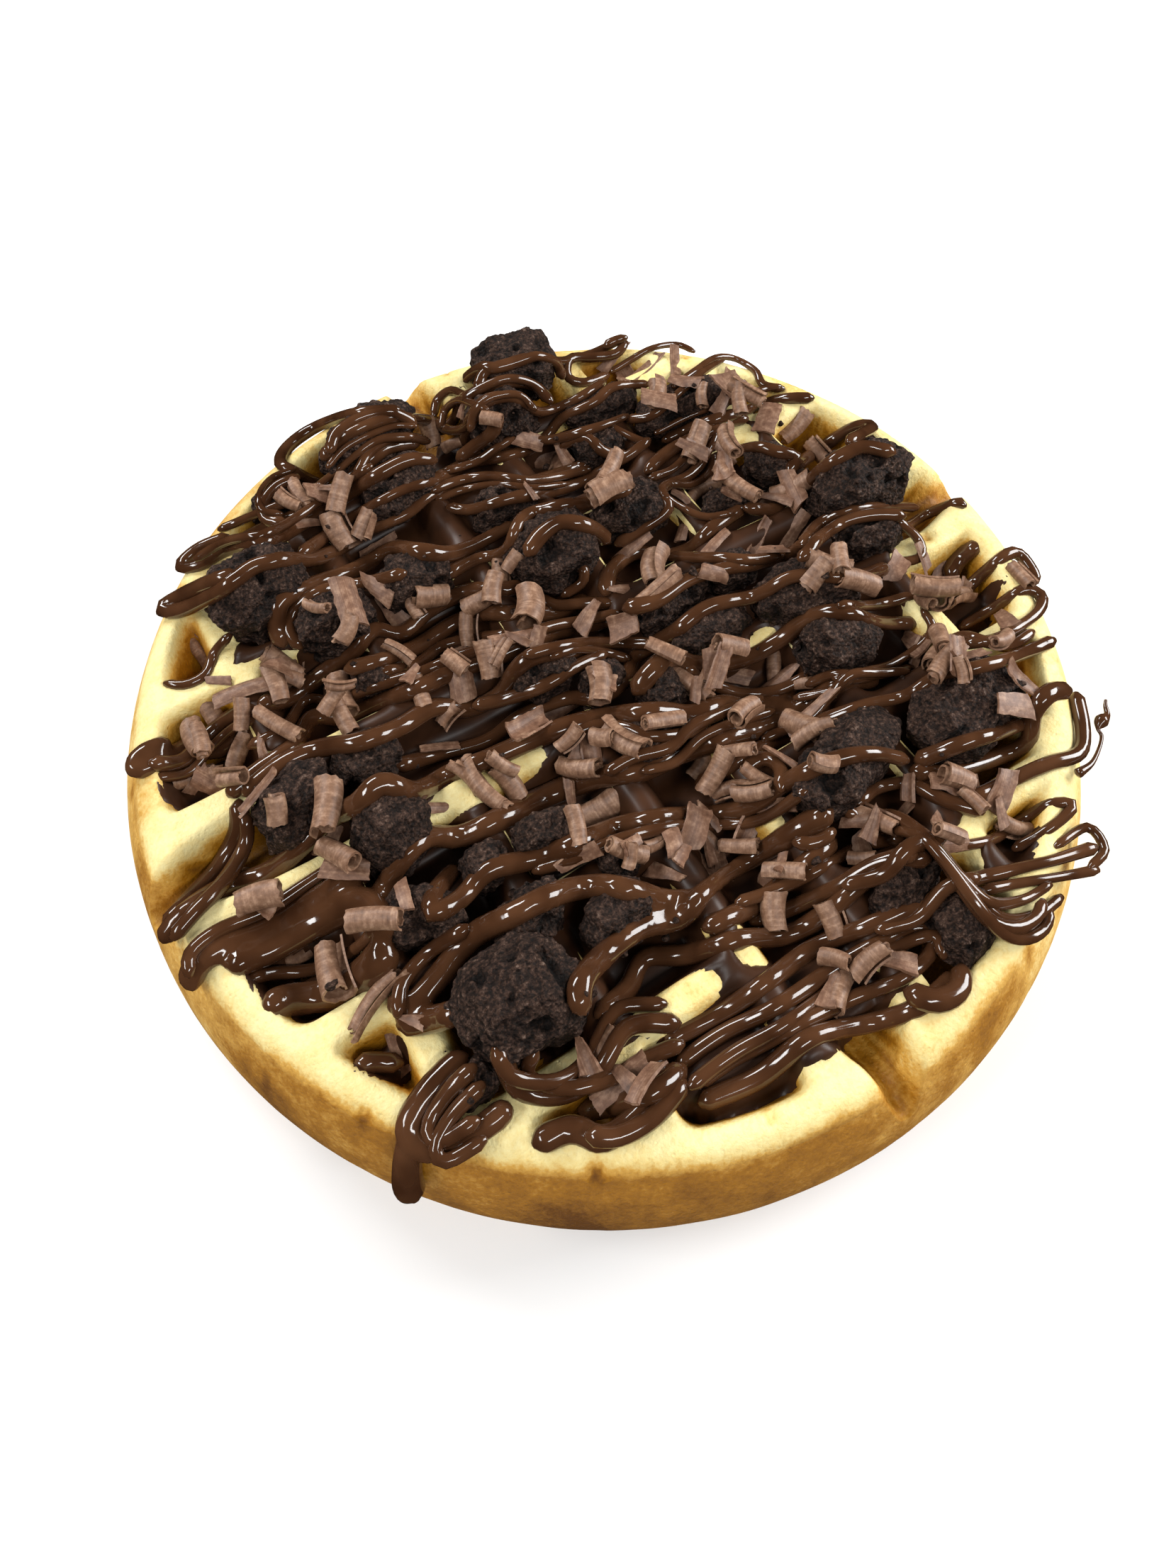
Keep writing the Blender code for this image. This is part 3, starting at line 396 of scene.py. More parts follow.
# Curls and shavings: reading x, y, length, width, turn in degrees, kind
TUBE, FLAT = 0, 1
FLAKES = (
    (-72, 16.3, 8, 3.6, -8, TUBE), (-64, 16, 9, 4.2, 42, TUBE), (-65, 27, 11, 3.8, 98, TUBE),
    (-59, 28, 10, 4.5, -10, FLAT), (-49.5, 27, 5, 4.5, 60, TUBE), (-56, 18.5, 9, 3.2, -60, TUBE),
    (-45.5, 18, 7, 4, 70, FLAT), (-34.5, 36, 10, 7, 80, FLAT), (-28.5, 30, 8, 5, 110, FLAT),
    (-6.5, 27, 6, 4.2, 60, TUBE), (-24, 45, 9, 4.5, -8, FLAT), (-32, 56.7, 9, 3.2, 0, FLAT),
    (-31.5, 66, 8, 3.4, 95, TUBE), (-1.5, 67, 6, 4.2, 80, TUBE), (-24, 14.5, 10, 3.6, 3, FLAT),
    (-11, 12.3, 10, 3.4, -8, FLAT), (-31.5, 11, 6, 3.6, 80, TUBE), (-64, 8, 9, 4.5, 15, FLAT),
    (-73.5, -5, 7, 4, 0, TUBE), (-57, -6.5, 6, 5, 30, FLAT), (-30, -11, 11, 4, -80, TUBE),
    (-15, -16.5, 8, 4, -50, TUBE), (-12.5, -5, 9.5, 3.2, -3, FLAT), (-11, -13, 8, 4.5, 70, FLAT),
    (-70, -21, 9, 3.2, -12, TUBE), (-61.5, -34, 11, 3.6, 22, TUBE), (-61.5, -42, 8, 5, 75, FLAT),
    (-16, -33.5, 7, 3.4, -35, TUBE), (-9, -36, 7, 5, 70, FLAT), (-4, -37.5, 8, 3.4, -70, TUBE),
    (-13, -40, 7, 4, -60, FLAT), (-4, -43, 8, 4.5, 60, FLAT), (-21, -25.5, 6.5, 3.4, 70, TUBE),
    (-38.5, -57, 6, 4.5, 80, FLAT), (-35, -58, 6, 3.4, 30, TUBE), (-36, -63, 10, 3.8, 5, FLAT),
    (10.5, -12, 10, 3.8, -72, TUBE), (3, -27, 5, 4.2, 20, TUBE), (18, -15, 9, 6, -30, FLAT),
    (25, -19, 8.5, 3.6, 60, TUBE), (15.5, -26, 7, 6, 40, FLAT), (26, -28.5, 12, 3.6, 6, FLAT),
    (5, -34, 7, 3.6, -35, TUBE), (3, -41, 7, 5, 30, FLAT), (3, -48.5, 8, 4, 10, FLAT),
    (17, -53, 5, 4.5, 70, FLAT), (28, -52, 7, 3.6, 10, FLAT), (36, -52, 6, 4.5, -50, FLAT),
    (30, -57.5, 5.5, 4.2, 70, FLAT), (43.5, -57.5, 8, 5.5, 30, FLAT), (4.5, -66.8, 9, 3.6, 0, FLAT),
    (41, -63.5, 6, 3.8, -35, TUBE), (50, -3.5, 8, 5, -50, TUBE), (62, -21.5, 5, 4.8, 30, TUBE),
    (66, -17, 7, 5, 40, FLAT), (53, -32, 6, 4.4, 20, TUBE), (58, -34.5, 5.5, 4.2, -20, FLAT),
    (68.5, -32, 7, 4, 60, FLAT), (62.5, -44, 8, 5, -60, FLAT), (78.5, -26, 6, 3.6, 80, TUBE),
    (47, 60, 13, 5, 15, FLAT), (55, 58, 8, 4, 60, FLAT), (44, 66, 9, 4.5, 10, FLAT),
    (45.5, 52, 6, 4.4, 50, TUBE), (62, 46, 8, 6, 60, FLAT), (57, 42.5, 7, 5, 30, FLAT),
    (16, 47, 7, 5, 0, FLAT), (24.5, 35.5, 6, 4.4, 70, TUBE), (48, 31, 9, 4.5, -60, FLAT),
    (62, 33, 10, 5.5, 40, FLAT), (65.5, 28, 8, 5, 10, TUBE), (38, 23, 11, 3.6, 20, TUBE),
    (46, 22, 11, 3.8, -80, TUBE), (18, 18.5, 10, 3.8, 5, FLAT), (17, 8, 11, 4, 12, TUBE),
    (7, 4, 6, 5.5, -30, FLAT), (50, 15, 9, 4.5, 20, FLAT), (41, 7.5, 9, 3.6, 30, FLAT),
    (48, 5.5, 9, 3.4, 20, FLAT), (33, 11, 8, 3.2, 20, FLAT),
)

# Where sauce ran together: within FILM_REACH of the middle and in the ovals of FILM_MORE, but not in those of
# FILM_LESS. Each oval is x, y and its half sizes along x and y
FILM_REACH = 0.0670
FILM_MORE = (
    (-64, -16, 13, 5), (-66, -26, 8, 4), (-6, -68, 24, 8), (40, -68, 13, 6), (68, -24, 9, 4),
    (70, 16, 8, 5), (-69, 17, 6, 3.5), (-64, -41, 6, 3), (10, 68, 10, 8), (-30, 66, 12, 8),
    (-75, -20, 6, 5),
)
FILM_LESS = (
    (-62, 31, 14, 3.5), (-60, 12, 14, 2.6), (-80, 5, 14, 7), (-72, -9.5, 18, 2.8), (-31, -10.5, 11, 2.6),
    (-66, -33, 10, 3), (-58, -45.5, 5, 3), (-22, -58, 8, 2.6), (-45, -60.5, 7, 2.2), (-8, -57, 3, 3),
    (5, -42, 4, 2), (65, -11, 5, 4), (57, -25, 3, 5), (75, -30, 5, 4), (47, -61, 6, 3.4), (35, -72, 4, 2.4),
    (74, 25, 7, 6), (54.5, 32, 3.5, 3), (58, 58, 6, 5), (31, 62, 3, 2.2), (5, 74, 6, 5), (-46, 65, 6, 5),
    (-25, 77, 6, 4), (18, -9.5, 4, 1.6), (28, -11, 3, 1.6), (9, -25, 3, 2.5), (-64, 44, 9, 9),
    (0, -84, 10, 9), (-36, -72, 8, 3.5),
)
# Ovals where the pockets are nearly full of sauce
FILM_FULL = ((-8, -68, 20, 7), (-64, -16, 10, 4), (24, -66, 16, 6), (3, 44, 14, 10))
FILM_HALF = 0.0850
FILM_GRID = 0.00090
FILM_TO_RIM = 0.0805
FILM_THICK = 0.0011
FILM_DEEP = 0.0024
# How far below the top face the pools lie, in most pockets and in the full ones
FILM_SUNK = 0.0072
FILM_FULL_SUNK = 0.0034
# The film's edge: the width over which it thins out, how far it dips into the batter, how far the mesh goes
# on outside it, and how far and over what length it wanders
FILM_FADE = 1.6 * MM
FILM_SKIRT = 1.2 * MM
FILM_TUCKED = 1.5 * MM
FILM_WANDERS = ((3.0 * MM, 0.020), (1.2 * MM, 0.005))
# The film follows the batter evened out this many times, sinking at most this far each time
FILM_EVENED = 3
FILM_SINKS = 0.3 * MM
# The sauce's flow lines: their turn in degrees, their height on the coated ridges, how much longer than wide
# they are, and the widths of the broad and the fine ones
FLOW_TURN = 8
FLOW_HEIGHT = 0.40 * MM
FLOW_LONGER = 4
FLOW_BROAD = 0.0046
FLOW_FINE = 0.0021


def srgb(red, green, blue):
    """A colour given as the 0 to 255 values of a picture."""
    shares = [value / 255 for value in (red, green, blue)]
    return tuple(c / 12.92 if c <= 0.04 else ((c + 0.055) / 1.055) ** 2.4 for c in shares) + (1.0,)


# The colours of each material, from the lowest value of its pattern to the highest
BATTER_STOPS = (
    (0.00, srgb(236, 221, 160)), (0.20, srgb(228, 203, 132)), (0.40, srgb(203, 155, 68)),
    (0.64, srgb(158, 105, 15)), (0.95, srgb(108, 65, 10)),
)
# The crumb's colours: nearly black in the holes as painted shade, and light on the lumps partly as painted
# glints
CRUMB_SHADE_GLINT_STOPS = (
    (0.26, srgb(8, 4, 2)), (0.44, srgb(34, 21, 14)), (0.60, srgb(70, 49, 38)), (0.82, srgb(140, 118, 104)),
)
SAUCE_STOPS = ((0.30, srgb(55, 32, 18)), (0.70, srgb(80, 51, 32)))
# The film of sauce in the pockets: the sauce's colours darkened as painted shade
SHADED_POOL_STOPS = ((0.30, srgb(42, 24, 13)), (0.70, srgb(68, 41, 24)))
CURL_STOPS = ((0.40, srgb(94, 65, 47)), (0.65, srgb(126, 93, 71)), (0.90, srgb(168, 134, 109)))
SHAVING_STOPS = ((0.40, srgb(86, 57, 41)), (0.65, srgb(117, 84, 64)), (0.90, srgb(158, 125, 101)))
FLOOR_STOPS = ((0.0, (0.86, 0.86, 0.855, 1)), (1.0, (0.90, 0.90, 0.895, 1)))
PORE_STOPS = ((0.0, (0, 0, 0, 1)), (0.22, (1, 1, 1, 1)))
# Roughness and the strength of the gloss
BATTER_FINISH = (0.55, 0.30)
CRUMB_FINISH = (0.70, 0.22)
SAUCE_FINISH = (0.10, 0.55)
POOL_FINISH = (0.40, 0.28)
CHOCOLATE_FINISH = (0.48, 0.40)
FLOOR_FINISH = (0.90, 0.50)

# The studio: half the floor's size, the world's strength, what the lamps point at, and each lamp's name,
# place, size and power
FLOOR_HALF = 1.5
WORLD_STRENGTH = 0.44
MIDDLE = (0.0, 0.0, 0.03)
LIGHTS = (
    ("key", (-0.20, 0.98, 0.80), (0.60, 0.22), 9.5),
    ("left", (-0.62, 0.16, 0.70), (0.45, 0.14), 4.0),
    ("front", (0.06, -0.52, 0.72), (0.40, 0.10), 2.6),
    ("right", (0.66, -0.16, 0.34), (0.40, 0.30), 5.6),
)


def smoothstep(t):
    t = np.clip(t, 0.0, 1.0)
    return t * t * (3 - 2 * t)


class Noise:
    """Smooth repeatable noise from -1 to 1 at arrays of points, on a lattice of random numbers."""

    SIDE = 32

    def __init__(self, seed):
        drawn = np.random.default_rng(seed)
        self.lattice = drawn.uniform(-1, 1, (self.SIDE,) * 3)
        self.seeds = drawn.uniform(0, 1, (self.SIDE,) * 3 + (3,))

    def at(self, points, wavelength):
        scaled = np.asarray(points, float) / wavelength
        whole = np.floor(scaled).astype(int)
        part = scaled - whole
        part = part * part * (3 - 2 * part)
        total = 0.0
        for corner in np.ndindex(2, 2, 2):
            weight = np.prod(np.where(corner, part, 1 - part), axis=-1)
            index = tuple((whole[..., k] + corner[k]) % self.SIDE for k in range(3))
            total = total + weight * self.lattice[index]
        return total

    def layered(self, points, wavelength):
        """Three noises together, each half as long and half as strong as the one before."""
        return sum(self.at(points, wavelength / 2 ** k) / 2 ** k for k in range(3)) / 1.75

    def grains(self, points, size):
        """How far each point is from the middle of its nearest grain, in grain sizes."""
        scaled = np.asarray(points, float) / size
        whole = np.floor(scaled).astype(int)
        nearest = np.full(scaled.shape[:-1], 9.0)
        for step in np.ndindex(3, 3, 3):
            cell = whole + np.array(step) - 1
            seed = self.seeds[tuple((cell[..., k] % self.SIDE) for k in range(3))]
            nearest = np.minimum(nearest, np.linalg.norm(cell + seed - scaled, axis=-1))
        return nearest


def seen_at(x, y, z):
    """The true x and y of a point at height z that the photo shows at the reading x, y."""
    share = (EYE.z - z) / (EYE.z - THICKNESS)
    return EYE.x + (x - EYE.x) * share, EYE.y + (y - EYE.y) * share


def catmull(given, count):
    """Count points for each stretch of a smooth curve through the given ones."""
    given = [np.array(point, float) for point in given]
    given = [2 * given[0] - given[1]] + given + [2 * given[-1] - given[-2]]
    fine = []
    for p0, p1, p2, p3 in zip(given, given[1:], given[2:], given[3:]):
        for t in np.linspace(0, 1, count, endpoint=False):
            fine.append(0.5 * (2 * p1 + (p2 - p0) * t + (2 * p0 - 5 * p1 + 4 * p2 - p3) * t ** 2
                               + (3 * p1 - p0 - 3 * p2 + p3) * t ** 3))
    return np.array(fine + [given[-2]])


def spaced(given, step):
    """Points about step apart on a smooth curve through the given ones."""
    fine = catmull(given, 10)
    along = np.concatenate([[0], np.cumsum(np.linalg.norm(np.diff(fine, axis=0), axis=1))])
    wanted = np.linspace(0, along[-1], max(3, round(along[-1] / step)) + 1)
    return np.stack([np.interp(wanted, along, column) for column in fine.T], axis=1)


def flat_points(x, y):
    return np.stack([x, y, np.zeros_like(x)], axis=-1)


def used_cells(kept, side):
    """The kept cells of a square grid: the indexes of the grid's points in use, and faces of those points."""
    i, j = np.nonzero(kept)
    corners = [i * side + j, (i + 1) * side + j, (i + 1) * side + j + 1, i * side + j + 1]
    corners = np.stack(corners, axis=1)
    used, index = np.unique(corners, return_inverse=True)
    return used, index.reshape(corners.shape)


def joined(bodies):
    """Several bodies, each a list of points and a list of faces, as one."""
    points, faces = [], []
    for body_points, body_faces in bodies:
        first = len(points)
        points.extend(body_points)
        faces.extend(tuple(first + k for k in face) for face in body_faces)
    return points, faces


def new_object(name, points, faces):
    mesh = bpy.data.meshes.new(name)
    mesh.from_pydata([tuple(point) for point in np.asarray(points, float).tolist()], [],
                     [tuple(face) for face in faces])
    mesh.update()
    piece = bpy.data.objects.new(name, mesh)
    bpy.context.scene.collection.objects.link(piece)
    return piece


def dress(piece, material, nodes):
    """Finishes a piece that rides on the one body and stands for the named nodes."""
    piece.data.shade_smooth()
    piece.data.materials.clear()
    piece.data.materials.append(material)
    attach(piece, "root")
    if nodes:
        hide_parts(*nodes)
    return piece


def add_values(piece, name, values):
    """Stores one number for each point, for the material to read."""
    stored = piece.data.attributes.new(name, "FLOAT", "POINT")
    stored.data.foreach_set("value", np.asarray(values, np.float32))


def vertex_values(mesh, name):
    flat = np.empty(len(mesh.vertices) * 3)
    mesh.vertices.foreach_get(name, flat)
    return flat.reshape(-1, 3)


def remeshed(piece, voxel, passes):
    """Gives the piece one closed skin of cells of this size, smoothed this many times."""
    remesh = piece.modifiers.new("remesh", "REMESH")
    remesh.mode = "VOXEL"
    remesh.voxel_size = voxel
    if passes:
        smooth = piece.modifiers.new("smooth", "SMOOTH")
        smooth.factor = 0.5
        smooth.iterations = passes
    depsgraph = bpy.context.evaluated_depsgraph_get()
    mesh = bpy.data.meshes.new_from_object(piece.evaluated_get(depsgraph))
    piece.modifiers.clear()
    old = piece.data
    piece.data = mesh
    bpy.data.meshes.remove(old)


# Materials

def new_material(name, finish):
    """A material with this roughness and gloss: itself, its node tree and its shader."""
    made = bpy.data.materials.new(name)
    made.use_nodes = True
    shader = made.node_tree.nodes["Principled BSDF"]
    shader.inputs["Roughness"].default_value, shader.inputs["Specular IOR Level"].default_value = finish
    return made, made.node_tree, shader


def link(tree, source, output, target, socket):
    tree.links.new(source.outputs[output], target.inputs[socket])


def add_texture(tree, kind, **values):
    """A texture in the object's own metres: its Scale is lumps per metre."""
    where = tree.nodes.new("ShaderNodeTexCoord")
    texture = tree.nodes.new("ShaderNodeTex" + kind)
    for socket, value in values.items():
        texture.inputs[socket].default_value = value
    link(tree, where, "Object", texture, "Vector")
    return texture


def add_noise(tree, scale, detail, roughness=0.55):
    return add_texture(tree, "Noise", Scale=scale, Detail=detail, Roughness=roughness)


def add_stored(tree, name):
    """Reads the numbers that add_values stored."""
    stored = tree.nodes.new("ShaderNodeAttribute")
    stored.attribute_name = name
    return stored


def add_ramp(tree, source, output, stops):
    ramp = tree.nodes.new("ShaderNodeValToRGB")
    while len(ramp.color_ramp.elements) < len(stops):
        ramp.color_ramp.elements.new(0.5)
    for element, (position, colour) in zip(ramp.color_ramp.elements, stops):
        element.position = position
        element.color = colour
    link(tree, source, output, ramp, "Fac")
    return ramp


def add_math(tree, operation, first, second):
    """A maths node whose inputs are numbers or (node, output) pairs."""
    made = tree.nodes.new("ShaderNodeMath")
    made.operation = operation
    for socket, value in enumerate((first, second)):
        if isinstance(value, tuple):
            link(tree, *value, made, socket)
        else:
            made.inputs[socket].default_value = value
    return made


def add_spread(tree, base, pattern, strength):
    """The base with the pattern's departure from its middle value, times strength, added to it."""
    shifted = add_math(tree, "SUBTRACT", (pattern, "Fac"), 0.5)
    scaled = add_math(tree, "MULTIPLY", (shifted, 0), strength)
    return add_math(tree, "ADD", base, (scaled, 0))


def add_bump(tree, shader, height, strength, distance):
    bump = tree.nodes.new("ShaderNodeBump")
    bump.inputs["Strength"].default_value = strength
    bump.inputs["Distance"].default_value = distance
    link(tree, height, 0, bump, "Height")
    link(tree, bump, "Normal", shader, "Normal")


def waffle_material():
    """Baked batter: the stored browning, mottled, from cream through gold to brown, with fine pores."""
    made, tree, shader = new_material("baked_batter", BATTER_FINISH)
    mottle = add_noise(tree, 190.0, 6.0, 0.62)
    fine = add_noise(tree, 1300.0, 3.0, 0.6)
    mottled = add_spread(tree, (add_stored(tree, "baked"), "Fac"), mottle, 0.62)
    total = add_spread(tree, (mottled, 0), fine, 0.34)
    link(tree, add_ramp(tree, total, 0, BATTER_STOPS), "Color", shader, "Base Color")
    pores = add_texture(tree, "Voronoi", Scale=700.0)
    pore = add_ramp(tree, pores, "Distance", PORE_STOPS)
    height = add_math(tree, "MULTIPLY", (pore, "Color"), 0.5)
    both = add_math(tree, "ADD", (height, 0), (fine, "Fac"))
    add_bump(tree, shader, both, 0.50, 0.00045)
    return made


def brownie_material():
    """Dark cake crumb, with painted glints that make its lumps lighter and painted shade that makes its holes
    nearly black.
    """
    made, tree, shader = new_material("cake_crumb", CRUMB_FINISH)
    lumps = add_noise(tree, 1500.0, 4.0, 0.7)
    both = add_math(tree, "ADD", (add_stored(tree, "painted_pit_shade_and_glint"), "Fac"), (lumps, "Fac"))
    link(tree, add_ramp(tree, both, 0, CRUMB_SHADE_GLINT_STOPS), "Color", shader, "Base Color")
    grains = add_texture(tree, "Voronoi", Scale=1500.0)
    turned = add_math(tree, "SUBTRACT", 1.0, (grains, "Distance"))
    height = add_math(tree, "ADD", (turned, 0), (lumps, "Fac"))
    add_bump(tree, shader, height, 1.0, 0.0006)
    return made


def cloudy_material(name, stops, finish, scale):
    """A plain material, such as thick sauce, a little cloudy over lengths of 1 / scale."""
    made, tree, shader = new_material(name, finish)
    ramp = add_ramp(tree, add_noise(tree, scale, 2.0), "Fac", stops)
    link(tree, ramp, "Color", shader, "Base Color")
    return made


def chocolate_material(name, stops):
    """Dull milk chocolate with the fine scraped lines that follow each piece."""
    made, tree, shader = new_material(name, CHOCOLATE_FINISH)
    lines = tree.nodes.new("ShaderNodeTexNoise")
    lines.noise_dimensions = "1D"
    lines.inputs["Scale"].default_value = 1900.0
    lines.inputs["Detail"].default_value = 3.0
    link(tree, add_stored(tree, "streak"), "Fac", lines, "W")
    bloom = add_noise(tree, 700.0, 5.0, 0.65)
    faint = add_math(tree, "MULTIPLY", (lines, "Fac"), 0.3)
    total = add_math(tree, "ADD", (faint, 0), (bloom, "Fac"))
    link(tree, add_ramp(tree, total, 0, stops), "Color", shader, "Base Color")
    add_bump(tree, shader, total, 0.35, 0.0003)
    return made


# The baked waffle

# Dense radius and height pairs down the outer side, from the flat top to the seam
PROFILE = catmull(RIM_POINTS, 12)


def rim_height(radius):
    return np.interp(radius, PROFILE[:, 0], PROFILE[:, 1])


def side_radius(height):
    up = np.maximum(height, THICKNESS - height)
    return np.interp(-up, -PROFILE[:, 1], PROFILE[:, 0])


def soft_min(a, b, blend):
    """The smaller of two distances, rounded where they are near each other."""
    share = np.clip(0.5 + 0.5 * (b - a) / blend, 0, 1)
    return b + (a - b) * share - blend * share * (1 - share)


def to_wall(u):
    """How far inside its row of pockets a place is, across the row."""
    half = (PITCH - RIDGE_WIDTH) / 2
    cell = np.clip(np.floor((np.abs(u) - FIRST_RIDGE) / PITCH), 0, 2)
    return half - np.abs(np.abs(u) - FIRST_RIDGE - PITCH * (cell + 0.5))


def relief(x, y):
    """How far below the top the baked surface lies at x, y, and how far down a wall that is, from 0 to 1."""
    inside = soft_min(to_wall(x), to_wall(y), POCKET_CORNER)
    inside = soft_min(inside, POCKET_CIRCLE - np.hypot(x, y), POCKET_CORNER)
    pocket = smoothstep((inside + WALL_ROUNDING) / (POCKET_WALL_RUN + 2 * WALL_ROUNDING)) * POCKET_DEPTH
    along = np.maximum(np.abs(x), np.abs(y))
    closing = smoothstep((along - GROOVE_CLOSES) / (SEAM_RADIUS - GROOVE_CLOSES))
    mouth_half = (FIRST_RIDGE - RIDGE_WIDTH / 2) * (1 - GROOVE_NARROWS * closing)
    floor_half = GROOVE_FLOOR_HALF * (1 - closing)
    depth = GROOVE_DEPTH * (1 - GROOVE_RISES * closing)
    across = mouth_half - np.minimum(np.abs(x), np.abs(y))
    into = smoothstep((across + WALL_ROUNDING) / (mouth_half - floor_half))
    ribs = RIB_DEPTH * np.sin(2 * math.pi * np.where(np.abs(x) < np.abs(y), x, y) / RIB_PITCH) * closing
    groove = into * (depth + ribs)
    groove_share = into * (GROOVE_SHARE - GROOVE_SHARE_LESS * closing)
    return np.maximum(pocket, groove), np.maximum(pocket / POCKET_DEPTH, groove_share)


def top_height(x, y, noise):
    """The waffle's upper surface, with the unevenness of batter, and how far down a wall each point is."""
    flat = flat_points(x, y)
    warped_x = x + WARP * noise.at(flat, WARP_LENGTH)
    warped_y = y + WARP * noise.at(flat + 0.5, WARP_LENGTH)
    drop, share = relief(warped_x, warped_y)
    radius = np.hypot(x, y)
    inner = RIDGE_DROP * smoothstep((POCKET_CIRCLE - radius) / RIDGE_DROPS_OVER)
    rough = WAVE * noise.layered(flat, WAVE_LENGTH) + GRAIN * noise.at(flat, GRAIN_LENGTH) * (0.4 + share)
    height = rim_height(radius) - inner - drop + rough
    for cx, cy, size, deep in BUBBLES:
        height = height - deep * MM * np.exp(-((x - cx * MM) ** 2 + (y - cy * MM) ** 2) / (size * MM) ** 2)
    return np.minimum(height, THICKNESS - 0.02 * MM), share


def disc_grid():
    """A square grid cut to a disc: its points, its faces and the ring of points at its edge, by angle."""
    half = int(SHEET_EDGE / GRID) + 2
    axis = np.arange(-half, half + 1) * GRID
    x, y = np.meshgrid(axis, axis, indexing="ij")
    centre = np.hypot(x[:-1, :-1] + GRID / 2, y[:-1, :-1] + GRID / 2)
    used, faces = used_cells(centre < SHEET_EDGE - 0.4 * GRID, len(axis))
    points = np.stack([x.ravel()[used], y.ravel()[used]], axis=1)
    ends = np.sort(np.concatenate([faces[:, [k, (k + 1) % 4]] for k in range(4)]), axis=1)
    pairs, count = np.unique(ends, axis=0, return_counts=True)
    edge = np.unique(pairs[count == 1])
    angle = np.arctan2(points[edge, 1], points[edge, 0])
    edge = edge[np.argsort(angle)]
    angle = np.sort(angle)
    reach = np.hypot(*points[edge].T)
    radius = np.hypot(*points.T)
    turn = np.arctan2(points[:, 1], points[:, 0])
    local = np.interp(turn, angle, reach, period=2 * math.pi)
    pull = np.clip((radius - STRETCH_FROM) / (local - STRETCH_FROM), 0, 1)
    stretched = radius + (SHEET_EDGE - local) * pull
    stretched[edge] = SHEET_EDGE
    points = points * (stretched / np.maximum(radius, 1e-9))[:, None]
    return points, faces, edge


def browning(points, share, noise):
    """How brown the batter is: 0 on the palest ridges, more down the walls and the outer side, and less on
    the right side, where the paler colour is painted light.
    """
    x, y = points[:, 0], points[:, 1]
    radius = np.hypot(x, y)
    height = np.maximum(points[:, 2], THICKNESS - points[:, 2])
    outer = smoothstep((radius - OUTER_FROM) / OUTER_FADE)
    turn = np.arctan2(y, x)
    front = np.maximum(np.cos(turn + FRONT_TURN), 0)
    # Painted light: the right side's brown band is made paler, as if more light fell on it
    right = np.maximum(np.cos(turn + PAINTED_LIGHT_TURN), 0) ** 2
    strong = BROWN_SIDE + BROWN_FRONT * front ** 1.5 + PAINTED_LIGHT_RIGHT * right
    wander = SIDE_BROWN_WANDER * noise.at(points + 0.6, SIDE_BROWN_LENGTH)
    above = height + wander - (THICKNESS - SIDE_BROWN_FROM)
    side = strong * (1 - smoothstep(above / SIDE_BROWN_FADE)) * outer
    walls = BROWN_WALLS * smoothstep((share - 0.02) / 0.45)
    patch = BROWN_PATCHES * noise.layered(points, PATCH_LENGTH)
    blush = BROWN_BLUSH * smoothstep((noise.at(points + 0.2, BLUSH_LENGTH) + 0.06) * 2.2)
    # Painted light: the blush is weaker on the right side, as if more light fell on it
    blush = blush * (0.6 + 0.4 * outer) * (1 - 0.6 * right)
    lateral = np.where(np.abs(x) < np.abs(y), x, y)
    near_rim = smoothstep((radius - RIBS_FROM) / RIBS_FADE) * smoothstep(share * 3 - 0.4)
    in_groove = np.minimum(np.abs(x), np.abs(y)) < FIRST_RIDGE - RIDGE_WIDTH / 2
    ribs = BROWN_RIBS * np.sin(2 * math.pi * lateral / RIB_PITCH) * near_rim * in_groove
    burst = 0
    for cx, cy, size, _ in BUBBLES:
        away = (x - cx * MM) ** 2 + (y - cy * MM) ** 2
        burst = burst + BROWN_BUBBLE * np.exp(-away / (size * MM) ** 2)
    return np.clip(BROWN_LEAST + np.maximum(walls, side) + patch + blush + ribs + burst, 0, 1)


def side_rings(edge_x, edge_y, high, low, share, noise):
    """The rings of points down the outer side, from one sheet's edge to the other's, with their browning."""
    turn = np.arctan2(edge_y, edge_x)
    outward = np.column_stack([np.cos(turn), np.sin(turn)])
    for k in range(1, SIDE_RINGS):
        down = k / SIDE_RINGS
        from_edge = min(down, 1 - down)
        height = high + (low - high) * (0.5 - 0.5 * math.cos(math.pi * down)) * 0.999
        near_edge = (height > THICKNESS - SIDE_ROUNDS_TO) | (height < SIDE_ROUNDS_TO)
        out = np.where(near_edge, 1.0, smoothstep(from_edge * 9.0))
        reach = SHEET_EDGE + (side_radius(height) - SHEET_EDGE) * out
        ring = np.column_stack([outward * reach[:, None], height])
        swell = (SIDE_SWELL * noise.layered(ring, SIDE_SWELL_LENGTH) - SIDE_SUNK) * smoothstep(from_edge * 8)
        ring[:, :2] += outward * swell[:, None]
        lower_half = smoothstep((THICKNESS / 2 - height) / (6 * MM))
        yield ring, browning(ring, share * (1 - down) ** 3, noise) + BROWN_UNDERSIDE * lower_half


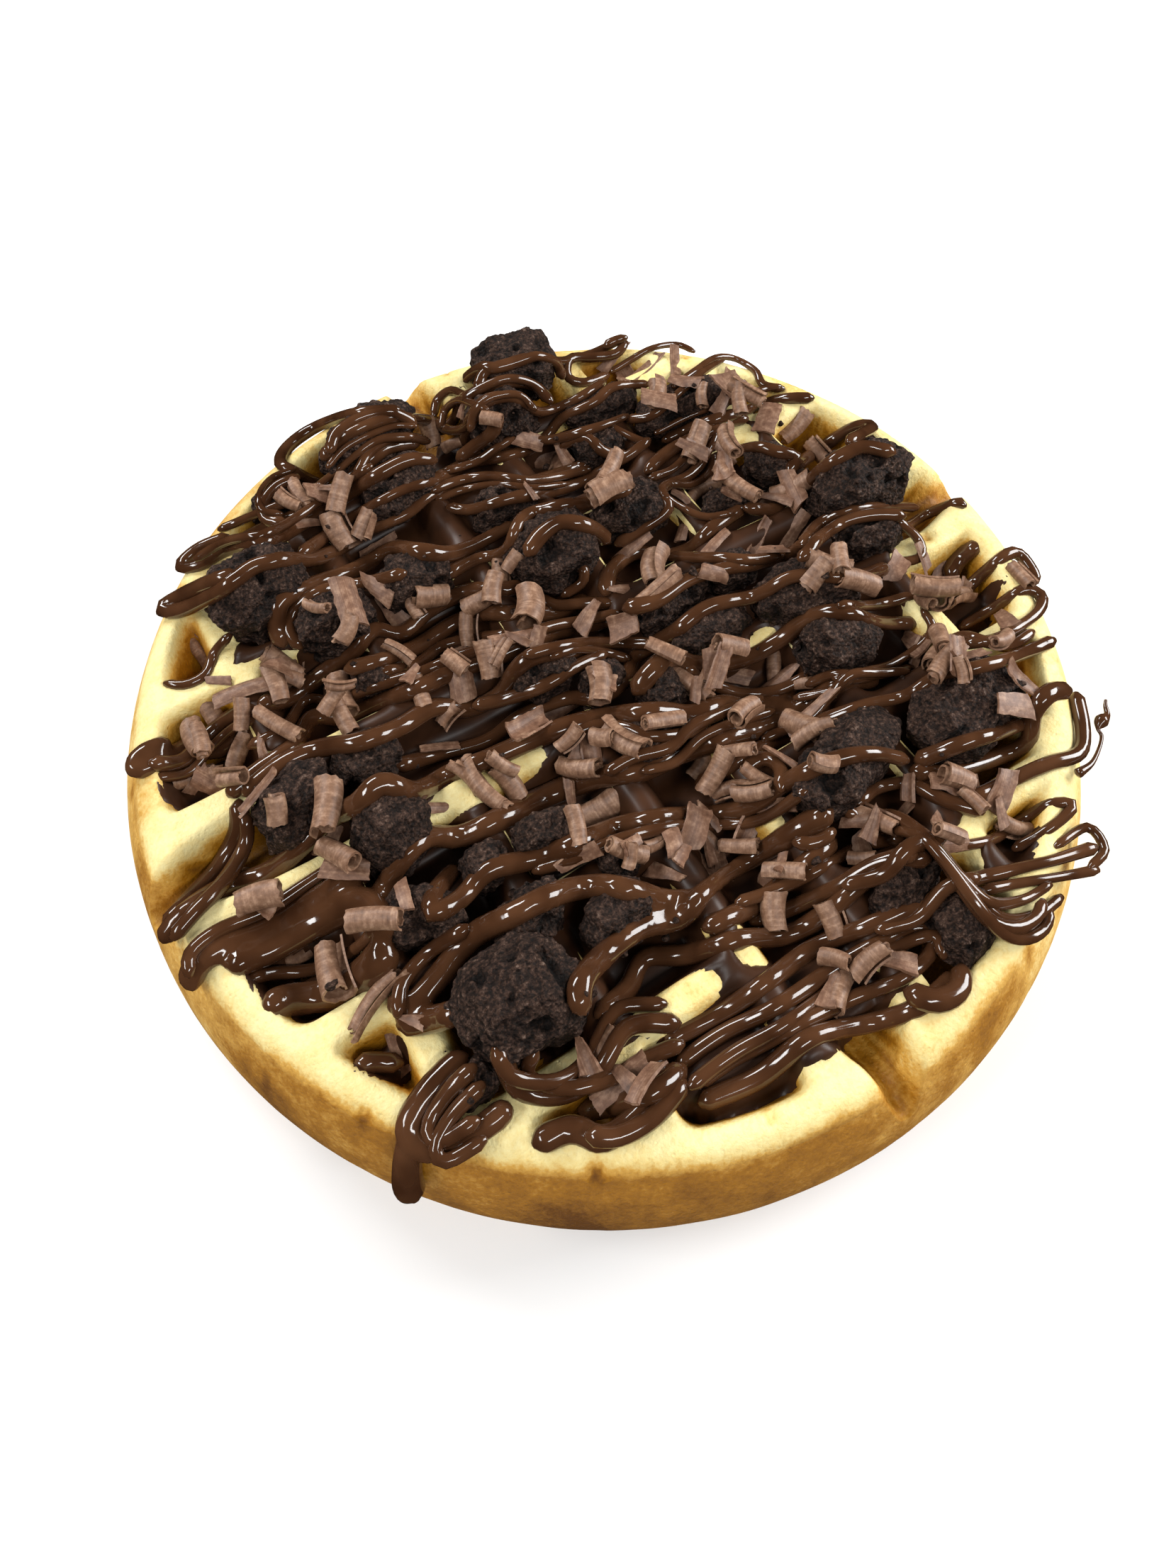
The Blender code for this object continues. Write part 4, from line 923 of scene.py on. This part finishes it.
def build_waffle(material):
    noise = Noise(SEED)
    flat, faces, edge = disc_grid()
    x, y = flat.T
    upper, share = top_height(x, y, noise)
    lower, low_share = top_height(x, -y, Noise(SEED + 1))
    lower = THICKNESS - lower
    count = len(flat)
    points = [np.column_stack([x, y, upper]), np.column_stack([x, y, lower])]
    baked = [browning(points[0], share, noise), BROWN_UNDERSIDE + browning(points[1], low_share, noise)]
    all_faces = [tuple(face) for face in faces] + [tuple(face[::-1] + count) for face in faces]
    size = len(edge)
    rings = [edge]
    for ring, brown in side_rings(x[edge], y[edge], upper[edge], lower[edge], share[edge], noise):
        rings.append(np.arange(size) + sum(len(part) for part in points))
        points.append(ring)
        baked.append(brown)
    rings.append(edge + count)
    for above, below in zip(rings, rings[1:]):
        for i in range(size):
            j = (i + 1) % size
            all_faces.append((above[j], above[i], below[i], below[j]))
    waffle = new_object("waffle_baked", np.concatenate(points), all_faces)
    dress(waffle, material, ["waffle"])
    add_values(waffle, "baked", np.concatenate(baked))


# Brownie chunks

def crumbed_chunk(node, material, noise):
    """The chunk's solid with broken, pitted faces, in the same place."""
    piece = bpy.data.objects.new("crumb_" + node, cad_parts[node].data.copy())
    bpy.context.scene.collection.objects.link(piece)
    welded = bmesh.new()
    welded.from_mesh(piece.data)
    bmesh.ops.remove_doubles(welded, verts=welded.verts, dist=WELD)
    welded.to_mesh(piece.data)
    welded.free()
    remeshed(piece, CHUNK_VOXEL, 0)
    mesh = piece.data
    points = vertex_values(mesh, "co")
    outward = vertex_values(mesh, "normal")
    form = CHUNK_FORM_MM * noise.at(points, CHUNK_FORM_LENGTH)
    form = form + CHUNK_FINER_MM * noise.at(points, CHUNK_FINER_LENGTH)
    grain = CHUNK_GRAIN_MM * (0.45 - noise.grains(points, CHUNK_GRAIN_LENGTH))
    grain = grain + 0.25 * noise.at(points + 0.3, 0.0016)
    pits = CHUNK_PITS_MM * smoothstep((noise.at(points + 0.7, CHUNK_PITS_LENGTH) - 0.35) * 3.0)
    moved = points + outward * ((form + grain + pits) * MM)[:, None]
    low, high = (np.array(corner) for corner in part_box(node))
    mesh.vertices.foreach_set("co", np.clip(moved, low - CHUNK_SINKS, high).ravel())
    mesh.update()
    dress(piece, material, [node])
    # Painted light: the stored value makes pits darker as painted shade and raised grains lighter as painted
    # glints
    add_values(piece, "painted_pit_shade_and_glint", 0.22 * (grain + 0.7 * pits))
    return piece


# What lies under each new topping

class Ground:
    """The height of the surface so far, on a square grid, which grows as toppings are laid on it."""

    CELL = 0.0005
    HALF = 0.0925
    ABOVE_ALL = 0.1

    def __init__(self, chunks, ceiling):
        self.ceiling = ceiling
        axis = np.arange(-self.HALF, self.HALF + self.CELL / 2, self.CELL)
        self.side = len(axis)
        x, y = np.meshgrid(axis, axis, indexing="ij")
        inside = np.hypot(x, y) < SEAM_RADIUS
        self.waffle = np.where(inside, top_height(x, y, Noise(SEED))[0], 0.0)
        self.height = self.waffle.copy()
        meshes = [chunk.data for chunk in chunks]
        tree = BVHTree.FromPolygons(*joined(([vertex.co.copy() for vertex in mesh.vertices],
                                             [face.vertices for face in mesh.polygons]) for mesh in meshes))
        for i, j in zip(*np.nonzero(inside)):
            hit = tree.ray_cast(Vector((x[i, j], y[i, j], self.ABOVE_ALL)), Vector((0, 0, -1)))[0]
            if hit is not None:
                self.height[i, j] = max(self.height[i, j], hit.z)

    def at(self, x, y, layer=None):
        layer = self.height if layer is None else layer
        u = np.clip((np.asarray(x) + self.HALF) / self.CELL, 0, self.side - 1.001)
        v = np.clip((np.asarray(y) + self.HALF) / self.CELL, 0, self.side - 1.001)
        i, j = u.astype(int), v.astype(int)
        s, t = u - i, v - j
        return ((layer[i, j] * (1 - s) + layer[i + 1, j] * s) * (1 - t)
                + (layer[i, j + 1] * (1 - s) + layer[i + 1, j + 1] * s) * t)

    def seen_height(self, x, y, lift, floor):
        """The height of the first thing that the line of sight of reading x, y meets, no lower than floor."""
        heights = np.arange(TOP_OF_ALL, floor, -SEARCH_STEP)
        true_x, true_y = seen_at(x, y, heights)
        met = self.at(true_x, true_y) + lift >= heights
        return heights[np.argmax(met)] if met.any() else floor

    def stamp(self, x, y, half_width, height):
        """Raises the surface to a rounded top of this height around x, y."""
        reach = int(half_width / self.CELL) + 1
        i = round((x + self.HALF) / self.CELL)
        j = round((y + self.HALF) / self.CELL)
        rows = np.arange(max(i - reach, 0), min(i + reach + 1, self.side))
        columns = np.arange(max(j - reach, 0), min(j + reach + 1, self.side))
        if not len(rows) or not len(columns):
            return
        u = (rows * self.CELL - self.HALF - x)[:, None]
        v = (columns * self.CELL - self.HALF - y)[None, :]
        bulge = np.sqrt(np.clip(1 - (u * u + v * v) / half_width ** 2, 0, 1))
        patch = self.height[rows[0]:rows[-1] + 1, columns[0]:columns[-1] + 1]
        np.maximum(patch, np.where(bulge > 0, height - half_width * 0.6 * (1 - bulge), 0), out=patch)

    def lay_film(self, axis, film_top):
        """Raises the surface to a film whose top is known on a grid with this axis."""
        spread = np.arange(self.side) * self.CELL - self.HALF
        nearest = np.rint((spread - axis[0]) / FILM_GRID).astype(int)
        nearest = np.clip(nearest, 0, len(axis) - 1)
        self.height = np.maximum(self.height, film_top[np.ix_(nearest, nearest)])


# Sauce

def smoothed(values, passes):
    for _ in range(passes):
        ends = np.concatenate([values[:1], values, values[-1:]])
        values = 0.25 * ends[:-2] + 0.5 * ends[1:-1] + 0.25 * ends[2:]
    return values


def in_metres(given):
    return [[value * MM for value in point] for point in given]


def tube(path, half_widths, flatten):
    """A closed tube along the path: its points and faces, with rounded ends."""
    path = np.asarray(path)
    tangent = np.gradient(path, axis=0)
    tangent /= np.linalg.norm(tangent, axis=1)[:, None]
    side = np.cross(np.array([0.0, 0.0, 1.0]), tangent)
    side /= np.maximum(np.linalg.norm(side, axis=1), 1e-6)[:, None]
    upward = np.cross(tangent, side)
    turn = np.linspace(0, 2 * math.pi, STRAND_SIDES, endpoint=False)
    rings = (path[:, None] + half_widths[:, None, None] * (np.cos(turn)[None, :, None] * side[:, None]
             + flatten * np.sin(turn)[None, :, None] * upward[:, None]))
    points = list(rings.reshape(-1, 3))
    neighbours = [(i, (i + 1) % STRAND_SIDES) for i in range(STRAND_SIDES)]
    starts = [k * STRAND_SIDES for k in range(len(path))]
    faces = [(a + i, a + j, b + j, b + i) for a, b in zip(starts, starts[1:]) for i, j in neighbours]
    for end, out in ((0, -1), (-1, 1)):
        tip = len(points)
        points.append(path[end] + out * tangent[end] * half_widths[end] * 0.6)
        for i, j in neighbours:
            faces.append((starts[end] + i, starts[end] + j, tip)[::out])
    return points, faces


def lay_strand(reading, half_width, ground, noise, rng):
    """A strand of sauce draped on what is under it: its true points and its half width at each."""
    readings = spaced(in_metres(reading), STRAND_STEP)
    shift = rng.uniform(0, 0.3)
    flat = np.column_stack([readings, np.full(len(readings), shift)])
    readings[:, 0] += STRAND_WANDER * noise.at(flat, STRAND_WANDER_LENGTH)
    readings[:, 1] += STRAND_WANDER * noise.at(flat + 0.4, STRAND_WANDER_LENGTH)
    lift = half_width * SAUCE_LIFT
    floors = np.where(np.hypot(*readings.T) > RIM_FROM, THICKNESS - RIM_SAG, THICKNESS - SAG)
    heights = np.array([ground.seen_height(x, y, lift, floor) for (x, y), floor in zip(readings, floors)])
    loose = smoothed(heights, SPANNING_PASSES)
    heights = smoothed(np.maximum(heights - SPANNING_SINK, loose), SMOOTHING_PASSES)
    true_x, true_y = seen_at(readings[:, 0], readings[:, 1], heights)
    swelling = sum(share * noise.at(flat + place, length) for share, place, length in SWELLINGS)
    slimmer = (REAR_SLIMMER * smoothstep((readings[:, 1] - SLIMMER_FROM) / REAR_SLIMMER_OVER)
               + RIGHT_SLIMMER * smoothstep((readings[:, 0] - SLIMMER_FROM) / RIGHT_SLIMMER_OVER))
    widths = np.maximum(half_width * (STRAND_NARROWER - slimmer + swelling), STRAND_LEAST)
    heights = np.minimum(heights, ground.ceiling - widths)
    count = np.arange(len(widths))
    to_end = np.minimum(count, count[::-1]) * STRAND_STEP + END_TIP
    widths *= np.sqrt(1 - (1 - np.clip(to_end / widths, 0, 1)) ** 2)
    path = np.column_stack([true_x, true_y, heights])
    for (x, y, z), wide in zip(path, widths):
        ground.stamp(x, y, wide, z + wide * STRAND_FLATTEN)
    return path, widths


def listed_strands():
    """The half thickness of each strand in the list, and its readings as pairs."""
    return [(half_width, list(zip(values[0::2], values[1::2]))) for half_width, *values in STRANDS]


def echoes(rng):
    """Thin strands that run beside parts of the thick ones, as the sauce falls in several threads at once."""
    made = []
    for half_width, reading in listed_strands():
        if len(reading) < 5 or rng.random() > ECHO_SHARE:
            continue
        count = rng.randint(5, len(reading))
        first = rng.randint(0, len(reading) - count)
        shift = rng.choice((-1, 1)) * (half_width + rng.uniform(*ECHO_AWAY_MM))
        slope = rng.uniform(-ECHO_SLOPE, ECHO_SLOPE)
        part = reading[first:first + count]
        middle = sum(x for x, y in part) / count
        made.append((rng.uniform(*ECHO_HALF_MM), [(x, y + shift + slope * (x - middle)) for x, y in part]))
    return made


def ovals(x, y, given):
    """For each oval, how far out the points are, which is MM at its edge, and its smaller half size."""
    for cx, cy, half_x, half_y in given:
        yield np.hypot((x - cx * MM) / half_x, (y - cy * MM) / half_y), min(half_x, half_y)


def covered(x, y, noise):
    """Above 0 where sauce has run together over the batter, and below 0 where the batter shows."""
    flat = flat_points(x, y)
    (far, wavelength), (near, fine_wavelength) = FILM_WANDERS
    wander = far * noise.layered(flat, wavelength) + near * noise.at(flat, fine_wavelength)
    inside = FILM_REACH - np.hypot(x, y)
    for reach, half in ovals(x, y, FILM_MORE):
        inside = np.maximum(inside, (MM - reach) * half)
    inside = np.minimum(inside + wander, FILM_TO_RIM - np.hypot(x, y))
    for reach, half in ovals(x, y, FILM_LESS):
        inside = np.minimum(inside, (reach - MM) * half + 0.25 * wander)
    return inside


def flow_lines(x, y, noise):
    """Noise drawn out along the sauce's flow."""
    lean = math.radians(FLOW_TURN)
    along = x * math.cos(lean) + y * math.sin(lean)
    across = y * math.cos(lean) - x * math.sin(lean)
    stretched = flat_points(along / FLOW_LONGER, across)
    return noise.at(stretched, FLOW_BROAD) + 0.20 * noise.at(stretched, FLOW_FINE)


def film_body(ground, noise):
    """The sauce that fills pockets and coats ridges: a closed body, and its top on a grid with this axis."""
    axis = np.arange(-FILM_HALF, FILM_HALF + FILM_GRID / 2, FILM_GRID)
    x, y = np.meshgrid(axis, axis, indexing="ij")
    inside = covered(x, y, noise)
    under = ground.at(x, y, ground.waffle)
    for _ in range(FILM_EVENED):
        padded = np.pad(under, 1, mode="edge")
        around = padded[:-2, 1:-1] + padded[2:, 1:-1] + padded[1:-1, :-2] + padded[1:-1, 2:]
        under = np.maximum(under - FILM_SINKS, around / 4)
    flow = flow_lines(x, y, noise)
    full = np.zeros_like(x)
    for reach, _ in ovals(x, y, FILM_FULL):
        full = np.maximum(full, smoothstep(2.2 - 1.6 * (reach / MM)))
    level = THICKNESS - FILM_SUNK + (FILM_SUNK - FILM_FULL_SUNK) * full + (0.9 - 0.5 * full) * MM * flow
    share = smoothstep(inside / FILM_FADE + 0.5)
    top = np.maximum(under + (FILM_THICK + FLOW_HEIGHT * flow) * share, np.where(inside > 0, level, 0))
    top = np.where(inside > 0, top, under) - FILM_SKIRT * (1 - share)
    kept = inside > -FILM_TUCKED
    used, faces = used_cells(kept[:-1, :-1] & kept[1:, :-1] & kept[1:, 1:] & kept[:-1, 1:], len(axis))
    count = len(used)
    upper = np.column_stack([x.ravel()[used], y.ravel()[used], top.ravel()[used]])
    lower = upper - np.array([0, 0, FILM_DEEP])
    ends = np.concatenate([faces[:, [k, (k + 1) % 4]] for k in range(4)])
    known = {(a, b) for a, b in ends.tolist()}
    walls = [(b, a, a + count, b + count) for a, b in known if (b, a) not in known]
    all_faces = [tuple(face) for face in faces.tolist()]
    all_faces += [tuple(face[::-1]) for face in (faces + count).tolist()] + walls
    return (np.concatenate([upper, lower]), all_faces), axis, np.where(inside > 0, top, 0)


# Curls and shavings

def closed_sheet(outer, inner, rows, columns):
    """Two skins of the same grid joined round their edge."""
    points = outer + inner
    first = len(outer)
    faces = []
    for i in range(rows - 1):
        for j in range(columns - 1):
            a, d = i * columns + j, (i + 1) * columns + j
            faces.append((a, a + 1, d + 1, d))
            faces.append((first + d, first + d + 1, first + a + 1, first + a))
    last = (rows - 1) * columns
    ring = list(range(columns)) + [i * columns + columns - 1 for i in range(1, rows)]
    ring += list(range(last + columns - 2, last - 1, -1)) + [i * columns for i in range(rows - 2, 0, -1)]
    for a, b in zip(ring, ring[1:] + ring[:1]):
        faces.append((b, a, first + a, first + b))
    return points, faces


def curl_sheet(length, width, rng):
    """A scraped roll along X, around its own axis: points of its outer and inner skin, faces and streaks."""
    turns = rng.uniform(0.95, 1.75)
    around, along = 22, 6
    start = rng.uniform(0, 2 * math.pi)
    bow = rng.uniform(-0.10, 0.10)
    taper = rng.uniform(-0.22, 0.22)
    ends = [[rng.uniform(-0.025, 0.025) for _ in range(around + 1)] for _ in range(2)]
    skew = rng.uniform(-0.16, 0.16)
    outer, inner, streaks = [], [], []
    for i in range(along + 1):
        s = i / along - 0.5
        for j in range(around + 1):
            t = j / around
            radius = width / 2 * (1 - 0.50 * t) * (1 + taper * s)
            x = length * (s + skew * (t - 0.5) * 2 * s)
            x += length * ends[int(s > 0)][j] * (abs(s) > 0.49)
            turn = start + turns * 2 * math.pi * t
            centre = bow * length * (4 * s * s - 1)
            for skin, reach in ((outer, radius), (inner, radius - CURL_THICK)):
                skin.append((x, math.cos(turn) * reach + centre, math.sin(turn) * reach))
            streaks.append(x + start)
    return (*closed_sheet(outer, inner, along + 1, around + 1), streaks * 2)


def shaving_sheet(length, width, rng):
    """A torn, bent plate of chocolate along X: points of its two skins, faces and streaks."""
    along, across = 8, 8
    thick = rng.uniform(*SHAVING_THICK)
    rolled = rng.uniform(0.5, 2.6)
    side = rng.choice((-1, 1))
    first, last = rng.uniform(0.55, 1.0), rng.uniform(0.20, 1.0)
    slants = (rng.uniform(-0.35, 0.35), rng.uniform(-0.35, 0.35))
    bow = rng.uniform(-0.10, 0.14)
    shift = rng.uniform(0, 1)
    bend, middle = width / rolled, width / rolled * (1 - rolled ** 2 / 24)
    upper, lower, streaks = [], [], []
    for i in range(along + 1):
        s = i / along - 0.5
        share = (first + (last - first) * (s + 0.5)) * rng.uniform(0.90, 1.06)
        lean = slants[0] * (0.5 - s) + slants[1] * (0.5 + s)
        rise = bow * length * (1 - 4 * s * s)
        for j in range(across + 1):
            t = j / across - 0.5
            x = length * s + lean * width * t + rng.uniform(-0.10, 0.10) * MM
            turn = t * share * rolled
            for skin, reach in ((upper, bend + thick / 2), (lower, bend - thick / 2)):
                z = side * (math.cos(turn) * reach - middle) + rise
                skin.append((x, math.sin(turn) * reach, z))
            streaks.append(turn * width + shift)
    if side < 0:
        upper, lower = lower, upper
    return (*closed_sheet(upper, lower, along + 1, across + 1), streaks * 2)


def slope_under(ground, x, y, direction, size, height, most):
    """The mean slope of the surface along a direction through a place, with its steps limited to most."""
    reach = np.linspace(-0.5, 0.5, 9)
    under = ground.at(x + direction[0] * reach * size, y + direction[1] * reach * size)
    return np.polyfit(reach * size, np.clip(under, height - most, height + most), 1)[0]


def lay_flake(entry, ground, rng):
    """A curl or shaving at its reading, tipped to what lies under it: its kind, points, faces and streaks."""
    *measures, degrees, kind = entry
    x, y, length, width = (value * MM for value in measures)
    sheet = curl_sheet if kind == TUBE else shaving_sheet
    points, faces, streaks = sheet(length, width, rng)
    rise = width * (CURL_RISE if kind == TUBE else SHAVING_RISE)
    height = ground.seen_height(x, y, rise, THICKNESS - SAG)
    true_x, true_y = seen_at(x, y, height)
    turn = math.radians(degrees)
    along = (math.cos(turn), math.sin(turn))
    across = (-along[1], along[0])
    slope = slope_under(ground, true_x, true_y, along, length, height, 3 * MM)
    lean = slope_under(ground, true_x, true_y, across, width, height, 2 * MM)
    pitch = -math.atan(np.clip(slope, -STEEPEST_ALONG, STEEPEST_ALONG))
    pitch += rng.uniform(-TIPPED_ALONG, TIPPED_ALONG)
    roll = math.atan(np.clip(lean, -STEEPEST_ACROSS, STEEPEST_ACROSS))
    roll += rng.uniform(-TIPPED_ACROSS, TIPPED_ACROSS)
    turned = Matrix.Translation((float(true_x), float(true_y), float(height)))
    for angle, axis in ((turn, "Z"), (pitch, "Y"), (roll, "X")):
        turned = turned @ Matrix.Rotation(angle, 4, axis)
    placed = [turned @ Vector(point) for point in points]
    over = Vector((0, 0, max(max(point.z for point in placed) - ground.ceiling, 0)))
    placed = [point - over for point in placed]
    for s in np.linspace(-0.45, 0.45, 7):
        centre = turned @ Vector((length * s, 0, 0))
        ground.stamp(centre.x, centre.y, width * 0.45, centre.z + rise * 0.8)
    return kind, placed, faces, streaks


def extra_entries(rng):
    """Entries for small flakes at random near the listed ones, but not on bare chunks or the rim."""
    for _ in range(EXTRA_FLAKES):
        near_x, near_y, *_ = rng.choice(FLAKES)
        length = rng.uniform(*EXTRA_LENGTH_MM)
        x, y = near_x + rng.gauss(0, EXTRA_SPREAD_MM), near_y + rng.gauss(0, EXTRA_SPREAD_MM)
        width = min(EXTRA_WIDEST_MM, length * rng.uniform(*EXTRA_SLIMNESS))
        entry = (x, y, length, width, rng.uniform(0, 180), TUBE if rng.random() < EXTRA_TUBES else FLAT)
        bare = any(math.hypot(x - bare_x, y - bare_y) < reach for bare_x, bare_y, reach in BARE)
        if math.hypot(x, y) < EXTRA_REACH_MM and not bare:
            yield entry


def crumbs(ground, noise, rng, spots):
    """Small brownie crumbs lying about on what is under them: points and faces."""
    made = bmesh.new()
    bmesh.ops.create_icosphere(made, subdivisions=2, radius=1.0)
    ball = np.array([vertex.co[:] for vertex in made.verts])
    ball_faces = [tuple(vertex.index for vertex in face.verts) for face in made.faces]
    made.free()
    laid = []
    while len(laid) < CRUMB_COUNT:
        near = rng.choice(spots)
        x = (near[0] + rng.gauss(0, CRUMB_SPREAD_MM)) * MM
        y = (near[1] + rng.gauss(0, CRUMB_SPREAD_MM)) * MM
        size = rng.uniform(0.35, 0.95) ** 2 * CRUMB_LARGEST
        if math.hypot(x, y) > CRUMB_REACH:
            continue
        height = min(ground.seen_height(x, y, size * 0.5, THICKNESS - SAG), ground.ceiling - 1.3 * size)
        true_x, true_y = seen_at(x, y, height)
        grown = size * (0.8 + 0.55 * noise.at(ball * 3 * MM + 0.01 * len(laid), 0.0028))
        stretch = np.array([rng.uniform(0.8, 1.3), rng.uniform(0.7, 1.1), rng.uniform(0.55, 0.9)])
        place = np.array([true_x, true_y, height])
        laid.append((list(ball * grown[:, None] * stretch + place), ball_faces))
        ground.stamp(true_x, true_y, size, height + size * 0.5)
    return joined(laid)


# The studio

def add_light(name, place, size, power):
    data = bpy.data.lights.new(name, "AREA")
    data.shape = "RECTANGLE"
    data.size, data.size_y = size
    data.energy = power
    light = bpy.data.objects.new(name, data)
    bpy.context.scene.collection.objects.link(light)
    light.location = place
    light.rotation_euler = (Vector(MIDDLE) - Vector(place)).to_track_quat("-Z", "Y").to_euler()


def studio():
    made = bmesh.new()
    bmesh.ops.create_grid(made, x_segments=8, y_segments=8, size=FLOOR_HALF)
    mesh = bpy.data.meshes.new("floor")
    made.to_mesh(mesh)
    made.free()
    floor = bpy.data.objects.new("floor", mesh)
    bpy.context.scene.collection.objects.link(floor)
    floor.data.materials.append(cloudy_material("pale_floor", FLOOR_STOPS, FLOOR_FINISH, 4.0))
    floor.visible_glossy = False
    floor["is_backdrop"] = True
    world = bpy.data.worlds.new("studio")
    world.use_nodes = True
    background = world.node_tree.nodes["Background"]
    background.inputs["Color"].default_value = (1.0, 1.0, 1.0, 1.0)
    background.inputs["Strength"].default_value = WORLD_STRENGTH
    world.cycles_visibility.glossy = False
    bpy.context.scene.world = world
    for light in LIGHTS:
        add_light(*light)
    bpy.context.scene.view_settings.view_transform = "Standard"


def set_camera():
    azimuth, elevation, roll = (math.radians(angle) for angle in (AZIMUTH, ELEVATION, ROLL))
    back = Vector((math.sin(azimuth) * math.cos(elevation), -math.cos(azimuth) * math.cos(elevation),
                   math.sin(elevation)))
    right = (-back).cross(Vector((0, 0, 1))).normalized()
    upward = right.cross(-back)
    turned_right = right * math.cos(roll) + upward * math.sin(roll)
    turned_up = upward * math.cos(roll) - right * math.sin(roll)
    data = bpy.data.cameras.new("camera")
    data.sensor_width = SENSOR_MM
    data.lens = FOCAL_PX * SENSOR_MM / max(IMAGE)
    data.shift_x = (IMAGE[0] / 2 - AXIS_PX[0]) / max(IMAGE)
    data.shift_y = (AXIS_PX[1] - IMAGE[1] / 2) / max(IMAGE)
    data.clip_start = CLIP_START
    camera = bpy.data.objects.new("camera", data)
    bpy.context.scene.collection.objects.link(camera)
    placed = Matrix((turned_right, turned_up, back)).transposed().to_4x4()
    placed.translation = EYE
    camera.matrix_world = placed
    bpy.context.scene.camera = camera


def lay_toppings(ground, noise, rng):
    """Lays sauce and flakes by turns: the bodies of thick and of thin strands, and all flakes."""
    thick, thin = [], []
    flakes = [lay_flake(entry, ground, rng) for entry in FLAKES[0::2]]
    for half_width, reading in listed_strands():
        path, widths = lay_strand(reading, half_width * MM, ground, noise, rng)
        group = thick if widths.mean() > MELTED_FROM else thin
        group.append(tube(path, widths, STRAND_FLATTEN))
    for half_width, reading in echoes(rng):
        path, widths = lay_strand(reading, half_width * MM, ground, noise, rng)
        thin.append(tube(path, widths, STRAND_FLATTEN))
    flakes += [lay_flake(entry, ground, rng) for entry in FLAKES[1::2]]
    flakes += [lay_flake(entry, ground, rng) for entry in extra_entries(rng)]
    return thick, thin, flakes


def add_sauce(thick, thin):
    glossy = cloudy_material("chocolate_sauce", SAUCE_STOPS, SAUCE_FINISH, 130.0)
    drip = catmull(in_metres(DRIP), 8)
    swelling = np.linspace(DRIP_NARROWER, 1.0, len(drip))
    thick = thick + [tube(drip, swelling * DRIP_HALF_THICKNESS, 1.0)]
    melted = new_object("sauce", *joined(thick))
    remeshed(melted, SAUCE_VOXEL, SAUCE_SMOOTHING)
    wisp = catmull(in_metres(WISP), 6)
    threads = new_object("sauce_threads", *joined(thin))
    loose = new_object("wisp", *tube(wisp[:, :3], wisp[:, 3], 1.0))
    for piece in (melted, threads, loose):
        dress(piece, glossy, ["waffle"])


def add_flakes(flakes):
    for name, kind, stops in (("curls", TUBE, CURL_STOPS), ("shavings", FLAT, SHAVING_STOPS)):
        chosen = [flake[1:] for flake in flakes if flake[0] == kind]
        piece = new_object(name, *joined((points, faces) for points, faces, _ in chosen))
        dress(piece, chocolate_material("chocolate_" + name, stops), ["waffle"])
        piece.data.set_sharp_from_angle(angle=math.radians(SHARP_FROM))
        add_values(piece, "streak", [value for *_, streaks in chosen for value in streaks])


def main():
    cad_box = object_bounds()
    rng = random.Random(SEED)
    noise = Noise(SEED + 3)
    build_waffle(waffle_material())
    crumb = brownie_material()
    nodes = [node for node in sorted(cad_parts) if node.startswith("brownie")]
    chunks = [crumbed_chunk(node, crumb, noise) for node in nodes]
    ground = Ground(chunks, cad_box[1][2] - CEILING_GAP)
    boxes = [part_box(node) for node in nodes]
    spots = [((low[0] + high[0]) / 2 / MM, (low[1] + high[1]) / 2 / MM) for low, high in boxes]

    film, axis, film_top = film_body(ground, noise)
    # The film's material is the sauce darkened as painted shade
    shaded_pool = cloudy_material("shaded_sauce_in_pockets", SHADED_POOL_STOPS, POOL_FINISH, 130.0)
    dress(new_object("sauce_film", *film), shaded_pool, ["waffle"])
    ground.lay_film(axis, film_top)
    thick, thin, flakes = lay_toppings(ground, noise, rng)
    add_sauce(thick, thin)
    add_flakes(flakes)
    dress(new_object("crumbs", *crumbs(ground, noise, rng, spots)), crumb, [])

    studio()
    set_camera()
    boxes = {"cad": cad_box, "visual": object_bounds()}
    {name: [list(corner) for corner in box] for name, box in boxes.items()}


main()
